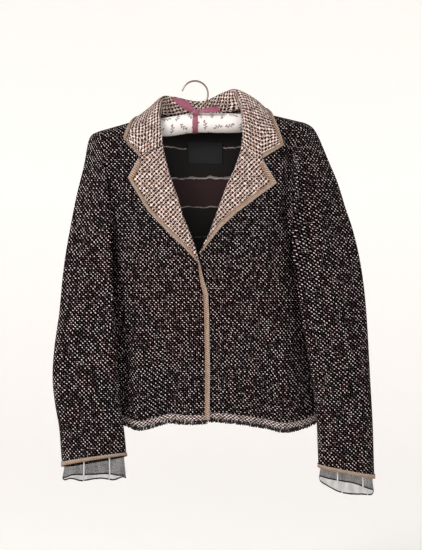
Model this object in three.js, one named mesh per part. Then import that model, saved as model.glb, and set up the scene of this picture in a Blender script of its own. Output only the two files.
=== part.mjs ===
// A short tweed blazer hanging on a padded hanger. Millimetres, +Z up, X across the chest, -Y to the front.
// The origin is the top of the hanger hook's inside, the point that hangs on a nail.
// Right and left are the wearer's: the right side is at -X, and its front laps over the left one.
// Every piece of cloth is a thin wall: rows of points on its visible face, and a second face behind them.
import * as THREE from 'three';

// ---------------------------------------------------------------- driving dimensions

const CLOTH = 2; // tweed of the body and sleeves
const FACING = 2.4; // double layer of the lapels and the collar
const BRAID = 1.2; // flat knitted trim
const ORGANZA = 1; // sheer cuff frill
const LINING = 1;
const SATIN = 1; // ribbon on the hanger
const SEAM_GAP = 0.2; // each side of a seam stands back this far
const LAYER_GAP = 0.5; // between cloths that lie on each other
const FRONT_LAP = 3.4; // how far the under front stands behind the upper one
const SHOULDER_ROUND = 45; // height over which a face turns over into the shoulder seam
const BRAID_WIDTH = 7; // on lapels and collar
const EDGE_BRAID_WIDTH = 9; // on the front edge
const CUFF_BRAID_WIDTH = 11;
const CENTRE_X = 12; // the body's centre line
const LOOP_POWER = 2.5; // squareness of armholes and sleeve sections

// Depth of the body: y of its front and back faces at the centre line, and the y each turns towards at the sides.
const DEPTH = [
  { z: -660, front: -47, back: 35, frontTurn: 18, backTurn: 18 },
  { z: -540, front: -50, back: 35, frontTurn: 16, backTurn: 17 },
  { z: -430, front: -50, back: 34, frontTurn: 8, backTurn: 17 },
  { z: -360, front: -52, back: 36, frontTurn: -3, backTurn: 19 },
  { z: -303, front: -51, back: 37, frontTurn: -12, backTurn: 22 },
  { z: -240, front: -49, back: 37, frontTurn: -20, backTurn: 26 },
  { z: -180, front: -45, back: 37, frontTurn: -23, backTurn: 28 },
  { z: -120, front: -38, back: 35, frontTurn: -23, backTurn: 27 },
  { z: -60, front: -29, back: 33, frontTurn: -21, backTurn: 25 },
  { z: 0, front: -26, back: 32, frontTurn: -20, backTurn: 24 },
];

// Shoulder seam, armhole and side seam of each side. lean is how far an armhole's edge cuts in towards the chest.
const SIDES = {
  right: {
    out: -1,
    neck: { x: -66, z: -59.4 },
    tip: { x: -178, y: 0, z: -91.8 },
    foot: { x: -166, y: 8, z: -303 },
    front: { depth: 36, lean: 14 },
    back: { depth: 32, lean: 8 },
    seam: [
      { z: -660, x: -204, y: 18 },
      { z: -540, x: -192, y: 17 },
      { z: -430, x: -180, y: 14 },
      { z: -360, x: -172, y: 11 },
      { z: -303, x: -166, y: 8 },
    ],
  },
  left: {
    out: 1,
    neck: { x: 88, z: -48.5 },
    tip: { x: 204, y: 0, z: -76.3 },
    foot: { x: 190, y: 8, z: -295 },
    front: { depth: 36, lean: 15 },
    back: { depth: 32, lean: 8 },
    seam: [
      { z: -660, x: 243, y: 18 },
      { z: -540, x: 230, y: 17 },
      { z: -430, x: 215, y: 14 },
      { z: -350, x: 201, y: 11 },
      { z: -295, x: 190, y: 8 },
    ],
  },
};

// Front edge, then roll line, then neckline of each front, from the hem up.
const ROLL_TOP_Z = -120;
const INNER_EDGE = {
  right: [
    { z: -640, x: 27 },
    { z: -546, x: 27.6 },
    { z: -480, x: 27.2 },
    { z: -392, x: 24.5 },
    { z: -362, x: 16 },
    { z: -337, x: 10 },
    { z: -318, x: 4.4 },
    { z: -289, x: -5.2 },
    { z: -253, x: -19.6 },
    { z: -212, x: -31.7 },
    { z: -170, x: -46.5 },
    { z: -120, x: -57.5 },
    { z: -90, x: -60.5 },
    { z: -50, x: -60 },
  ],
  left: [
    { z: -640, x: -4 },
    { z: -400, x: -4 },
    { z: -352, x: -3 },
    { z: -325, x: 4.6 },
    { z: -311, x: 11.7 },
    { z: -282, x: 26.2 },
    { z: -234, x: 43.1 },
    { z: -195, x: 57.6 },
    { z: -156, x: 74.7 },
    { z: -120, x: 84.8 },
    { z: -90, x: 84.5 },
    { z: -40, x: 82 },
  ],
};

// Lower edge of the cloth, under which the fringe hangs.
const HEM = {
  right: [
    { x: -205, z: -612 },
    { x: -160, z: -619 },
    { x: -129, z: -624 },
    { x: -101, z: -631 },
    { x: -68, z: -624.5 },
    { x: -44, z: -618.5 },
    { x: -20, z: -620 },
    { x: 30, z: -619 },
  ],
  left: [
    { x: -12, z: -615 },
    { x: 37, z: -616 },
    { x: 90, z: -621 },
    { x: 130, z: -629 },
    { x: 150, z: -634 },
    { x: 165, z: -635.5 },
    { x: 184, z: -634 },
    { x: 211, z: -628 },
    { x: 245, z: -614 },
  ],
};
const BACK_HEM = [
  { x: -205, z: -612 },
  { x: -100, z: -609 },
  { x: 10, z: -610 },
  { x: 120, z: -609 },
  { x: 245, z: -614 },
];

// Soft folds of the body, each on a line from (x, z) to (endX, endZ). depth is how far it stands out.
const FOLDS = {
  front: [
    { x: -94, z: -380, endX: -100, endZ: -650, width: 22, depth: 8 },
    { x: -128, z: -400, endX: -131, endZ: -650, width: 14, depth: -5 },
    { x: -52, z: -470, endX: -46, endZ: -650, width: 22, depth: -6 },
    { x: -10, z: -450, endX: -4, endZ: -650, width: 20, depth: 3 },
    { x: 88, z: -440, endX: 92, endZ: -650, width: 22, depth: 3 },
    { x: 126, z: -400, endX: 130, endZ: -650, width: 17, depth: -6 },
    { x: 156, z: -370, endX: 167, endZ: -650, width: 20, depth: 10 },
    { x: 128, z: -150, endX: 140, endZ: -330, width: 26, depth: 4 },
    { x: -96, z: -160, endX: -112, endZ: -330, width: 24, depth: 4 },
  ],
  back: [
    { x: -120, z: -380, endX: -132, endZ: -650, width: 26, depth: 3 },
    { x: -70, z: -420, endX: -74, endZ: -650, width: 22, depth: -8 },
    { x: -18, z: -400, endX: -14, endZ: -650, width: 26, depth: 2 },
    { x: 36, z: -420, endX: 40, endZ: -650, width: 22, depth: -6 },
    { x: 96, z: -400, endX: 102, endZ: -650, width: 26, depth: 3 },
    { x: 152, z: -430, endX: 162, endZ: -650, width: 22, depth: -8 },
    { x: -100, z: -150, endX: -112, endZ: -320, width: 22, depth: -5 },
    { x: 124, z: -140, endX: 134, endZ: -310, width: 22, depth: -5 },
  ],
};

// Sleeve sections below the armhole: the outer end, the inner end, how deep each half is, how far its front half
// leans in over the chest, and how much higher its front is than its back.
const SLEEVES = {
  right: [
    { outX: -191, outY: 0, outZ: -98, inX: -170, inY: 5, inZ: -312, front: 36, back: 33, lean: 22, rise: 0 },
    { outX: -198, outY: -1, outZ: -114, inX: -177, inY: 3, inZ: -322, front: 39, back: 32, lean: 32, rise: 0 },
    { outX: -205, outY: -4, outZ: -155, inX: -184, inY: 0, inZ: -336, front: 41, back: 31, lean: 40, rise: 0 },
    { outX: -218, outY: -8, outZ: -210, inX: -188, inY: -5, inZ: -353, front: 41, back: 30, lean: 49, rise: 0 },
    { outX: -228, outY: -12, outZ: -264, inX: -188, inY: -12, inZ: -374, front: 39, back: 29, lean: 54, rise: 0 },
    { outX: -236, outY: -17, outZ: -312, inX: -183, inY: -21, inZ: -398, front: 36, back: 28, lean: 53, rise: 0 },
    { outX: -242, outY: -22, outZ: -362, inX: -172, inY: -31, inZ: -426, front: 33, back: 27, lean: 46, rise: 0 },
    { outX: -247, outY: -28, outZ: -424, inX: -156, inY: -41, inZ: -460, front: 29, back: 26, lean: 33, rise: 0 },
    { outX: -255, outY: -33, outZ: -486, inX: -143, inY: -47, inZ: -502, front: 27, back: 25, lean: 16, rise: 0 },
    { outX: -258, outY: -37, outZ: -540, inX: -137.5, inY: -49, inZ: -548, front: 27, back: 25, lean: 2, rise: 0 },
    { outX: -253, outY: -39, outZ: -590, inX: -133, inY: -50, inZ: -592, front: 26, back: 24, lean: 0, rise: 0 },
    { outX: -245.5, outY: -40, outZ: -632, inX: -128, inY: -50, inZ: -630, front: 26, back: 23, lean: 0, rise: 2 },
    { outX: -242.5, outY: -40, outZ: -670, inX: -124.5, inY: -50, inZ: -660, front: 25, back: 22, lean: 0, rise: 4 },
    { outX: -240, outY: -40, outZ: -704, inX: -123, inY: -50, inZ: -683, front: 24, back: 21, lean: 0, rise: 6 },
  ],
  left: [
    { outX: 217, outY: 0, outZ: -84, inX: 194, inY: 5, inZ: -304, front: 36, back: 33, lean: 22, rise: 0 },
    { outX: 228.5, outY: 0, outZ: -102, inX: 201, inY: 3, inZ: -315, front: 40, back: 32, lean: 33, rise: 0 },
    { outX: 247, outY: -3, outZ: -147, inX: 208, inY: 0, inZ: -330, front: 42, back: 31, lean: 44, rise: 0 },
    { outX: 263.5, outY: -5, outZ: -187, inX: 213, inY: -3, inZ: -347, front: 42, back: 30, lean: 52, rise: 0 },
    { outX: 277, outY: -8, outZ: -232, inX: 216, inY: -7, inZ: -367, front: 40, back: 29, lean: 54, rise: 0 },
    { outX: 291, outY: -11, outZ: -276, inX: 218, inY: -11, inZ: -390, front: 37, back: 28, lean: 54, rise: 0 },
    { outX: 303, outY: -15, outZ: -330, inX: 217, inY: -16, inZ: -418, front: 34, back: 27, lean: 50, rise: 0 },
    { outX: 310.5, outY: -18, outZ: -384, inX: 213, inY: -22, inZ: -450, front: 31, back: 26, lean: 39, rise: 0 },
    { outX: 315, outY: -21, outZ: -440, inX: 210, inY: -27, inZ: -488, front: 29, back: 25, lean: 24, rise: 0 },
    { outX: 318.5, outY: -25, outZ: -510, inX: 212, inY: -31, inZ: -535, front: 28, back: 24, lean: 10, rise: 0 },
    { outX: 321.5, outY: -28, outZ: -575, inX: 218, inY: -32, inZ: -583, front: 27, back: 23, lean: 2, rise: 0 },
    { outX: 324, outY: -30, outZ: -630, inX: 222, inY: -32, inZ: -628, front: 26, back: 22, lean: 0, rise: 0 },
    { outX: 325.5, outY: -30, outZ: -682, inX: 223.5, inY: -32, inZ: -668, front: 25, back: 21, lean: 0, rise: 0 },
    { outX: 327, outY: -30, outZ: -727, inX: 225, inY: -32, inZ: -706, front: 24, back: 20, lean: 0, rise: 1 },
  ],
};

// Soft troughs along the sleeves: turn is the angle from the outer end towards the front, row the section it is
// deepest at.
const SLEEVE_FOLDS = {
  right: [
    { turn: 70, row: 9, spread: 26, reach: 2.6, depth: -6 },
    { turn: 115, row: 8.5, spread: 24, reach: 3, depth: 3 },
    { turn: 150, row: 7, spread: 22, reach: 1.6, depth: -4 },
    { turn: 250, row: 8.5, spread: 26, reach: 2.2, depth: -5 },
    { turn: 290, row: 11, spread: 24, reach: 1.6, depth: -3 },
  ],
  left: [
    { turn: 108, row: 8.5, spread: 24, reach: 2.4, depth: -4 },
    { turn: 62, row: 7.5, spread: 26, reach: 2.4, depth: 3 },
    { turn: 75, row: 11, spread: 22, reach: 1.8, depth: -3 },
    { turn: 245, row: 8.5, spread: 26, reach: 2.2, depth: -5 },
    { turn: 285, row: 11, spread: 24, reach: 1.6, depth: -3 },
  ],
};

// Lower edge of each cuff frill: z at its outer and inner ends, how much higher its front and lower its back are.
const FRILLS = {
  right: { outZ: -727, inZ: -722, frontRise: 11, backDrop: 7, grow: 3, waves: 7, wave: 3.4, phase: 40 },
  left: { outZ: -752, inZ: -725, frontRise: 7.5, backDrop: 19, grow: 2, waves: 5, wave: 2.4, phase: 0 },
};
const FRILL_TOP_ROW = 13.5;

// Lapel's outer edge from the closure up to its tip.
const LAPELS = {
  right: {
    closureZ: -334,
    edge: [
      { x: 1.5, z: -330 },
      { x: -17.2, z: -309.5 },
      { x: -46.2, z: -282 },
      { x: -84.8, z: -241 },
      { x: -121, z: -180.6 },
    ],
  },
  left: {
    closureZ: -318,
    edge: [
      { x: 15, z: -314 },
      { x: 28.5, z: -295 },
      { x: 48, z: -271 },
      { x: 76.8, z: -244 },
      { x: 113, z: -217 },
      { x: 149.2, z: -190.3 },
    ],
  },
};

// How the lapel rolls round the front's edge, from behind it: its face and its other side, each as a distance out
// from the roll line and a depth behind the front's face, where it is rolled and where it starts flat.
const ROLL = [
  { out: 8, y: 5.7, underOut: 8, underY: 3.3, flatOut: 0.9, flatY: -0.5, flatUnder: 1.5 },
  { out: 4, y: 5.5, underOut: 5, underY: 3.3, flatOut: 0.5, flatY: -0.9, flatUnder: 2.1 },
  { out: 1.1, y: 4, underOut: 3, underY: 2.6, flatOut: 0.2, flatY: -1.3, flatUnder: 2.7 },
  { out: 0, y: 1.2, underOut: 2.4, underY: 1.2, flatOut: 0.1, flatY: -1.8, flatUnder: 3.3 },
  { out: 1, y: -1.4, underOut: 2.9, underY: -0.2, flatOut: 0.5, flatY: -2.5, flatUnder: 3.9 },
];
const FRONT_BEHIND_ROLL = 7;

// Sections of the collar from its right end round the back of the neck to its left end: the neck seam, the fold,
// the middle of the fall and the outer edge. round is 0 where the section keeps the corner of the notch.
const COLLAR = [
  {
    neck: [-61, -33, -116], fold: [-57.4, -39.5, -119], mid: [-100.6, -43.6, -141.6], edge: [-129.1, -39.5, -109.4],
    round: 0,
  },
  { neck: [-63, -26, -88], fold: [-62, -33, -84], mid: [-93, -38, -98], edge: [-126, -35, -96], round: 1 },
  { neck: [-62.5, -13, -68], fold: [-65.5, -13, -48], mid: [-90, -16, -64], edge: [-119.5, -22, -80], round: 1 },
  { neck: [-60, 2, -58.5], fold: [-61, 9, -26], mid: [-84, 6, -46], edge: [-109, 3, -68], round: 1 },
  { neck: [-42, 22, -61], fold: [-42, 22, -23], mid: [-56, 39, -44], edge: [-72, 43, -74], round: 1 },
  { neck: [11, 29, -62], fold: [11, 29, -31], mid: [11, 41, -52], edge: [11, 42, -92], round: 1 },
  { neck: [60, 21, -54], fold: [54, 20, -15], mid: [74, 38, -36], edge: [92, 42, -68], round: 1 },
  { neck: [82, 2, -50], fold: [74, 9, -12.5], mid: [104, 6, -26], edge: [133.5, 3, -55], round: 1 },
  { neck: [84.4, -15, -60], fold: [84, -10, -36], mid: [113, -17, -47], edge: [143.5, -24, -67.5], round: 1 },
  { neck: [86.5, -26, -86], fold: [87.5, -33, -79], mid: [119, -39, -93], edge: [154.5, -34, -96], round: 1 },
  { neck: [88.5, -33, -117], fold: [85, -39.5, -120], mid: [122.5, -42.6, -146], edge: [162, -39, -121.6], round: 0 },
];

// Padded bar of the hanger where it shows in the neck; beyond this it follows the shoulder seams.
const BAR_CROWN = [
  { x: -84, top: -68.6 },
  { x: -61, top: -66.8 },
  { x: -4, top: -58.3 },
  { x: 45, top: -58 },
  { x: 85, top: -59.2 },
  { x: 104, top: -60 },
];
const BAR = { startX: -168, endX: 192, halfHeight: 18, halfDepth: 18, endHalfHeight: 12, endHalfDepth: 9 };
const SEAT_GAP = 1.5; // between the bar and the shoulders that rest on it
const CONTACT_GAP = 0.3;
const HOOK = { wire: 1.7, radius: 24, tipAngle: 165, neckAngle: -48, shankX: 9.5 };

// ---------------------------------------------------------------- small maths

const clamp = (v, low, high) => Math.min(high, Math.max(low, v));
const lerp = (a, b, t) => a + (b - a) * t;
const ease = (t) => clamp(t, 0, 1) ** 2 * (3 - 2 * clamp(t, 0, 1));
const bow = (v, power) => Math.max(0, 1 - Math.abs(v) ** power) ** (1 / power);
const squash = (v, power) => Math.sign(v) * Math.abs(v) ** (2 / power);
const vec = (x, y, z) => new THREE.Vector3(x, y, z);
const steps = (count, make) => Array.from({ length: count + 1 }, (_, i) => make(i / count, i));

// Smooth curve through four values, between the middle two.
function spline(before, a, b, after, t) {
  const m0 = (b - before) / 2;
  const m1 = (after - a) / 2;
  const t2 = t * t;
  const t3 = t2 * t;
  return (2 * t3 - 3 * t2 + 1) * a + (t3 - 2 * t2 + t) * m0 + (3 * t2 - 2 * t3) * b + (t3 - t2) * m1;
}

// Shares from 0 to 1 that crowd towards both ends.
const denseEnds = (t, power) => (1 + Math.sign(2 * t - 1) * (1 - (1 - Math.abs(2 * t - 1)) ** power)) / 2;

// A column of a table at a value of its key column, on a smooth curve through the rows.
function read(table, key, at, column) {
  const last = table.length - 1;
  let i = 0;
  while (i < last - 1 && at > table[i + 1][key]) i += 1;
  const t = clamp((at - table[i][key]) / (table[i + 1][key] - table[i][key]), 0, 1);
  const value = (row) => table[clamp(row, 0, last)][column];
  return spline(value(i - 1), value(i), value(i + 1), value(i + 2), t);
}

// A column of a table at a fractional row number.
function readRow(table, at, column) {
  const last = table.length - 1;
  const i = Math.min(Math.floor(at), last - 1);
  const value = (row) => table[clamp(row, 0, last)][column];
  return spline(value(i - 1), value(i), value(i + 1), value(i + 2), at - i);
}

// ---------------------------------------------------------------- faces of the body

const shoulderZ = (side, x) => {
  const { neck, tip } = SIDES[side];
  return neck.z + ((x - neck.x) * (tip.z - neck.z)) / (tip.x - neck.x);
};

const sideOf = (x) => (x < CENTRE_X ? 'right' : 'left');

// The back neckline dips and stands back between the two neck points.
function neckShare(x) {
  const from = SIDES.right.neck.x;
  const to = SIDES.left.neck.x;
  return bow((2 * x - from - to) / (to - from), 2.2);
}
const NECK_DIP = 12;
const NECK_BACK_Y = 31;

function topZ(face, x) {
  if (face === 'back' && x > SIDES.right.neck.x && x < SIDES.left.neck.x) {
    const t = (x - SIDES.right.neck.x) / (SIDES.left.neck.x - SIDES.right.neck.x);
    return lerp(SIDES.right.neck.z, SIDES.left.neck.z, t) - NECK_DIP * neckShare(x);
  }
  return shoulderZ(sideOf(x), x);
}

// The side edge of a face at a height: the armhole above the underarm, the side seam below it.
function sideEdge(face, side, z) {
  const { out, tip, foot, seam } = SIDES[side];
  if (z <= foot.z) return { x: read(seam, 'z', z, 'x'), y: read(seam, 'z', z, 'y') };
  const t = Math.min(1, (z - foot.z) / (tip.z - foot.z));
  const { depth, lean } = SIDES[side][face];
  const share = bow(2 * t - 1, LOOP_POWER);
  const forward = face === 'front' ? -1 : 1;
  return {
    x: lerp(foot.x, tip.x, t) - out * lean * share,
    y: lerp(foot.y, tip.y, t) + forward * depth * share,
  };
}

function foldDepth(face, x, z) {
  return FOLDS[face].reduce((sum, fold) => {
    const t = (z - fold.z) / (fold.endZ - fold.z);
    const off = (x - lerp(fold.x, fold.endX, t)) / fold.width;
    return sum + fold.depth * Math.exp(-off * off) * ease(t * 2.2) * ease((1.6 - t) * 2.2);
  }, 0);
}

const FACE_TURN = { front: 1.9, back: 2.6 }; // how late a face turns to its sides
const EDGE_TURN = 13; // how close to its edge it meets the armhole and the side seam

// y of the outside of the front or the back, before its folds.
function bodyY(face, x, z) {
  const side = sideOf(x);
  const edge = sideEdge(face, side, z);
  const across = clamp((x - CENTRE_X) / (edge.x - CENTRE_X), 0, 1);
  const under = topZ(face, x) - z;
  const topY = face === 'back' ? NECK_BACK_Y * neckShare(x) : 0;
  const round = under >= SHOULDER_ROUND ? 1 : bow(1 - Math.max(0, under) / SHOULDER_ROUND, 2.2);
  const middle = lerp(topY, read(DEPTH, 'z', z, face), round);
  const turnY = round * read(DEPTH, 'z', z, `${face}Turn`);
  return lerp(middle, turnY, 1 - bow(across, FACE_TURN[face])) + (edge.y - turnY) * across ** EDGE_TURN;
}

// y with the folds, which die out at the side seams and the shoulders.
function faceY(face, x, z) {
  const edge = sideEdge(face, sideOf(x), z);
  const across = clamp((x - CENTRE_X) / (edge.x - CENTRE_X), 0, 1);
  const outward = face === 'front' ? -1 : 1;
  return bodyY(face, x, z) + outward * foldDepth(face, x, z) * (1 - across ** 6) * ease((topZ(face, x) - z) / 80);
}
const frontY = (x, z) => faceY('front', x, z);

// ---------------------------------------------------------------- walls

// Turns a closed surface the right way out and makes its mesh.
function solid(name, positions, triangles, material) {
  let volume = 0;
  const at = (i) => vec(...positions.slice(3 * i, 3 * i + 3));
  for (const [a, b, c] of triangles) volume += at(a).dot(at(b).cross(at(c)));
  const facing = volume > 0 ? triangles : triangles.map(([a, b, c]) => [a, c, b]);
  const geometry = new THREE.BufferGeometry();
  geometry.setAttribute('position', new THREE.Float32BufferAttribute(positions, 3));
  geometry.setIndex(facing.flat());
  geometry.computeVertexNormals();
  const mesh = new THREE.Mesh(geometry, material);
  mesh.name = name;
  return mesh;
}

// Unit normals of a grid of points. seam(i, j) names an axis that the normal has no share in.
function gridNormals(rows, ring, facing, seam) {
  const across = rows[0].length;
  const wrap = (j) => (ring ? (j + across) % across : clamp(j, 0, across - 1));
  return rows.map((row, i) =>
    row.map((_, j) => {
      const up = rows[Math.min(i + 1, rows.length - 1)][j].clone().sub(rows[Math.max(i - 1, 0)][j]);
      const along = row[wrap(j + 1)].clone().sub(row[wrap(j - 1)]);
      const normal = along.cross(up).multiplyScalar(facing);
      const axis = seam?.(i, j);
      if (axis) normal[axis] = 0;
      return normal.normalize();
    }),
  );
}

// Triangles of a closed wall between two grids of the same size, the second one's points following the first's.
function wallTriangles(down, across, ring, skipLowEdge) {
  const count = down * across;
  const cells = ring ? across : across - 1;
  const at = (i, j) => i * across + (j % across);
  const triangles = [];
  const quad = (a, b, c, d) => triangles.push([a, b, c], [a, c, d]);
  for (let i = 0; i < down - 1; i += 1)
    for (let j = 0; j < cells; j += 1) {
      quad(at(i, j), at(i, j + 1), at(i + 1, j + 1), at(i + 1, j));
      quad(count + at(i, j), count + at(i + 1, j), count + at(i + 1, j + 1), count + at(i, j + 1));
    }
  for (let j = 0; j < cells; j += 1) {
    if (!skipLowEdge) quad(at(0, j + 1), at(0, j), count + at(0, j), count + at(0, j + 1));
    quad(at(down - 1, j), at(down - 1, j + 1), count + at(down - 1, j + 1), count + at(down - 1, j));
  }
  if (!ring)
    for (let i = 0; i < down - 1; i += 1) {
      quad(at(i, 0), at(i + 1, 0), count + at(i + 1, 0), count + at(i, 0));
      quad(at(i + 1, across - 1), at(i, across - 1), count + at(i, across - 1), count + at(i + 1, across - 1));
    }
  return triangles;
}

// A wall whose visible face is the rows of points moved out by lift, and whose other face is thick behind it.
function wall(name, rows, thick, material, { ring = false, facing = 1, seam, lift = 0 } = {}) {
  const normals = gridNormals(rows, ring, facing, seam);
  const moved = (p, normal, off) => p.clone().addScaledVector(normal, off).toArray();
  const face = (off) => rows.flatMap((row, i) => row.flatMap((p, j) => moved(p, normals[i][j], off)));
  const positions = [...face(lift), ...face(lift - thick)];
  return solid(name, positions, wallTriangles(rows.length, rows[0].length, ring), material);
}

const cloth = (color, roughness = 0.95) => new THREE.MeshStandardMaterial({ color, roughness, metalness: 0 });
const TWEED = cloth(0x2b2321);
const PALE_TWEED = cloth(0xb89a8c);
const TAN = cloth(0xa98a72);
const DARK_YARN = cloth(0x1c1716);
const SHEER = cloth(0x6e6e72, 0.6);
const SILK = cloth(0x17130f, 0.5);
const LABEL_SATIN = cloth(0x1d1e20, 0.6);
const PRINT = cloth(0xf1ece8);
const RIBBON = cloth(0x9a4a72, 0.4);
const STEEL = new THREE.MeshStandardMaterial({ color: 0xb9b3a6, roughness: 0.3, metalness: 1 });

// ---------------------------------------------------------------- body panels

const underarmZ = (x) => {
  const { right, left } = SIDES;
  return lerp(right.foot.z, left.foot.z, (x - right.foot.x) / (left.foot.x - right.foot.x));
};

// Rows of a panel below the underarm, as shares of the height from the hem, then rows that meet the armhole's points.
const LOW_ROWS = [0, 0.13, 0.27, 0.41, 0.55, 0.68, 0.8, 0.9, 1];
const UNDERARM_ROW = LOW_ROWS.length - 1;
const ARMHOLE_ROWS = 11;
const TOP_ROW = UNDERARM_ROW + ARMHOLE_ROWS;

// Where a row meets an armhole: x, and how far up it is between the underarm line and the top edge.
function armholeEnd(face, side, row) {
  const { tip, foot } = SIDES[side];
  const angle = (Math.PI * (row - UNDERARM_ROW)) / ARMHOLE_ROWS;
  const z = lerp(foot.z, tip.z, (1 - squash(Math.cos(angle), LOOP_POWER)) / 2);
  const { x } = sideEdge(face, side, z);
  return { x, share: (z - underarmZ(x)) / (topZ(face, x) - underarmZ(x)) };
}

// Where a row of a panel crosses an edge given as x at a height.
function crossing(edgeX, zAt, startX) {
  let x = startX;
  for (let i = 0; i < 12; i += 1) x = edgeX(zAt(x));
  return x;
}

const frontHemZ = (side) => (x) => read(HEM[side], 'x', x, 'z');
const backHemZ = (x) => read(BACK_HEM, 'x', x, 'z');

// y of a front's outside. The left front stands back under the right one near the middle.
const lappedY = (side, x, z) => frontY(x, z) + (side === 'left' ? FRONT_LAP * (1 - ease((x - 32) / 50)) : 0);

const FRONT_COLUMNS = 11;

function frontRows(side) {
  const { out, foot } = SIDES[side];
  const hemZ = frontHemZ(side);
  const innerX = (z) => {
    const rolled = ease((z - LAPELS[side].closureZ + 12) / 30);
    return read(INNER_EDGE[side], 'z', z, 'x') + out * FRONT_BEHIND_ROLL * rolled;
  };
  return steps(TOP_ROW, (_, row) => {
    const low = row <= UNDERARM_ROW;
    const end = low ? undefined : armholeEnd('front', side, row);
    const zAt = low
      ? (x) => lerp(hemZ(x), underarmZ(x), LOW_ROWS[row])
      : (x) => lerp(underarmZ(x), topZ('front', x), end.share);
    const from = crossing(innerX, zAt, CENTRE_X);
    const to = low ? crossing((z) => sideEdge('front', side, z).x, zAt, foot.x) : end.x;
    return steps(FRONT_COLUMNS, (t, j) => {
      const x = lerp(from, to, 1 - (1 - t) ** 1.6);
      const z = zAt(x);
      const atSeam = j === FRONT_COLUMNS || row === TOP_ROW;
      const pull = !low && j === FRONT_COLUMNS ? out * SEAM_GAP : 0;
      return vec(x - pull, lappedY(side, x, z) - (atSeam ? SEAM_GAP : 0), z);
    });
  });
}
const FRONT_ROWS = { right: frontRows('right'), left: frontRows('left') };

// Walls meet edge to edge at the seams: flat on the side and shoulder seams, and in the armhole's plane.
function seamAxis(row, atSide) {
  if (row === TOP_ROW || (atSide && row <= UNDERARM_ROW)) return 'y';
  return atSide ? 'x' : undefined;
}

function frontPanel(side) {
  const seam = (i, j) => seamAxis(i, j === FRONT_COLUMNS);
  return wall(`front_${side}`, FRONT_ROWS[side], CLOTH, TWEED, { facing: SIDES[side].out, seam });
}

const BACK_COLUMNS = 20;
const BACK_ROWS = steps(TOP_ROW, (_, row) => {
  const low = row <= UNDERARM_ROW;
  const lowZ = (x) => lerp(backHemZ(x), underarmZ(x), LOW_ROWS[row]);
  const [right, left] = ['right', 'left'].map((side) =>
    low
      ? { x: crossing((z) => sideEdge('back', side, z).x, lowZ, SIDES[side].foot.x), share: 0 }
      : armholeEnd('back', side, row),
  );
  const share = (x) => lerp(right.share, left.share, (x - right.x) / (left.x - right.x));
  const zAt = low ? lowZ : (x) => lerp(underarmZ(x), topZ('back', x), share(x));
  return steps(BACK_COLUMNS, (t, j) => {
    const x = lerp(right.x, left.x, denseEnds(t, 1.5));
    const end = j === 0 || j === BACK_COLUMNS;
    const pull = end && !low ? Math.sign(x) * SEAM_GAP : 0;
    return vec(x - pull, faceY('back', x, zAt(x)) + (end || row === TOP_ROW ? SEAM_GAP : 0), zAt(x));
  });
});

function backPanel() {
  const seam = (i, j) => seamAxis(i, j === 0 || j === BACK_COLUMNS);
  return wall('back', BACK_ROWS, CLOTH, TWEED, { facing: -1, seam });
}

// ---------------------------------------------------------------- sleeves, cuffs and frills

// A point of a sleeve's face at a fractional section row and an angle from its outer end towards the front.
// Row 0 is the armhole itself.
function sleevePoint(side, row, angle, inward = 0) {
  const { out, tip, foot, front: frontHalf, back: backHalf } = SIDES[side];
  const armhole = {
    outX: tip.x, outY: tip.y, outZ: tip.z, inX: foot.x, inY: foot.y, inZ: foot.z,
    front: frontHalf.depth, back: backHalf.depth, lean: frontHalf.lean, rise: 0,
  };
  const table = [armhole, ...SLEEVES[side]];
  const get = (column) => readRow(table, row, column);
  const c = squash(Math.cos(angle), LOOP_POWER);
  const s = squash(Math.sin(angle), LOOP_POWER);
  const backLean = backHalf.lean * clamp(1 - row / 2, 0, 1);
  const folds = SLEEVE_FOLDS[side].reduce((sum, fold) => {
    const turn = ((THREE.MathUtils.radToDeg(angle) - fold.turn + 540) % 360) - 180;
    return sum + fold.depth * Math.exp(-((turn / fold.spread) ** 2) - ((row - fold.row) / fold.reach) ** 2);
  }, 0);
  const scale = 1 - inward / 52;
  const half = (1 + c * scale) / 2;
  const front = Math.max(0, get('front') - inward + folds);
  const back = Math.max(0, get('back') - inward + folds);
  const depth = s > 0 ? -s * front : -s * back;
  const lean = s > 0 ? s * get('lean') : -s * backLean;
  return vec(
    lerp(get('inX'), get('outX'), half) - out * lean,
    lerp(get('inY'), get('outY'), half) + depth,
    lerp(get('inZ'), get('outZ'), half) + s * get('rise'),
  );
}

const AROUND = 22;
const turns = (count) => Array.from({ length: count }, (_, j) => (2 * Math.PI * j) / count);

function sleeve(side) {
  const { out } = SIDES[side];
  const rows = [0, 0.5, 1, 2, 3, 4, 5, 6, 7, 8, 9, 10, 11, 12, 13, 14].map((row) =>
    turns(AROUND).map((angle) => {
      const p = sleevePoint(side, row, angle);
      if (row === 0) p.x += out * 2 * SEAM_GAP;
      return p;
    }),
  );
  return wall(`sleeve_${side}`, rows, CLOTH, TWEED, { ring: true, facing: out, seam: (i) => (i ? undefined : 'x') });
}

function cuffTrim(side) {
  const last = SLEEVES[side].length;
  const length = SLEEVES[side][last - 2].outZ - SLEEVES[side][last - 1].outZ;
  const rows = steps(2, (t) =>
    turns(AROUND).map((angle) => sleevePoint(side, last - (CUFF_BRAID_WIDTH / length) * (1 - t), angle)),
  );
  return wall(`trim_cuff_${side}`, rows, BRAID, TAN, {
    ring: true, facing: SIDES[side].out, lift: LAYER_GAP + BRAID,
  });
}

const FRILL_INSET = CLOTH + 1.2;

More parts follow.
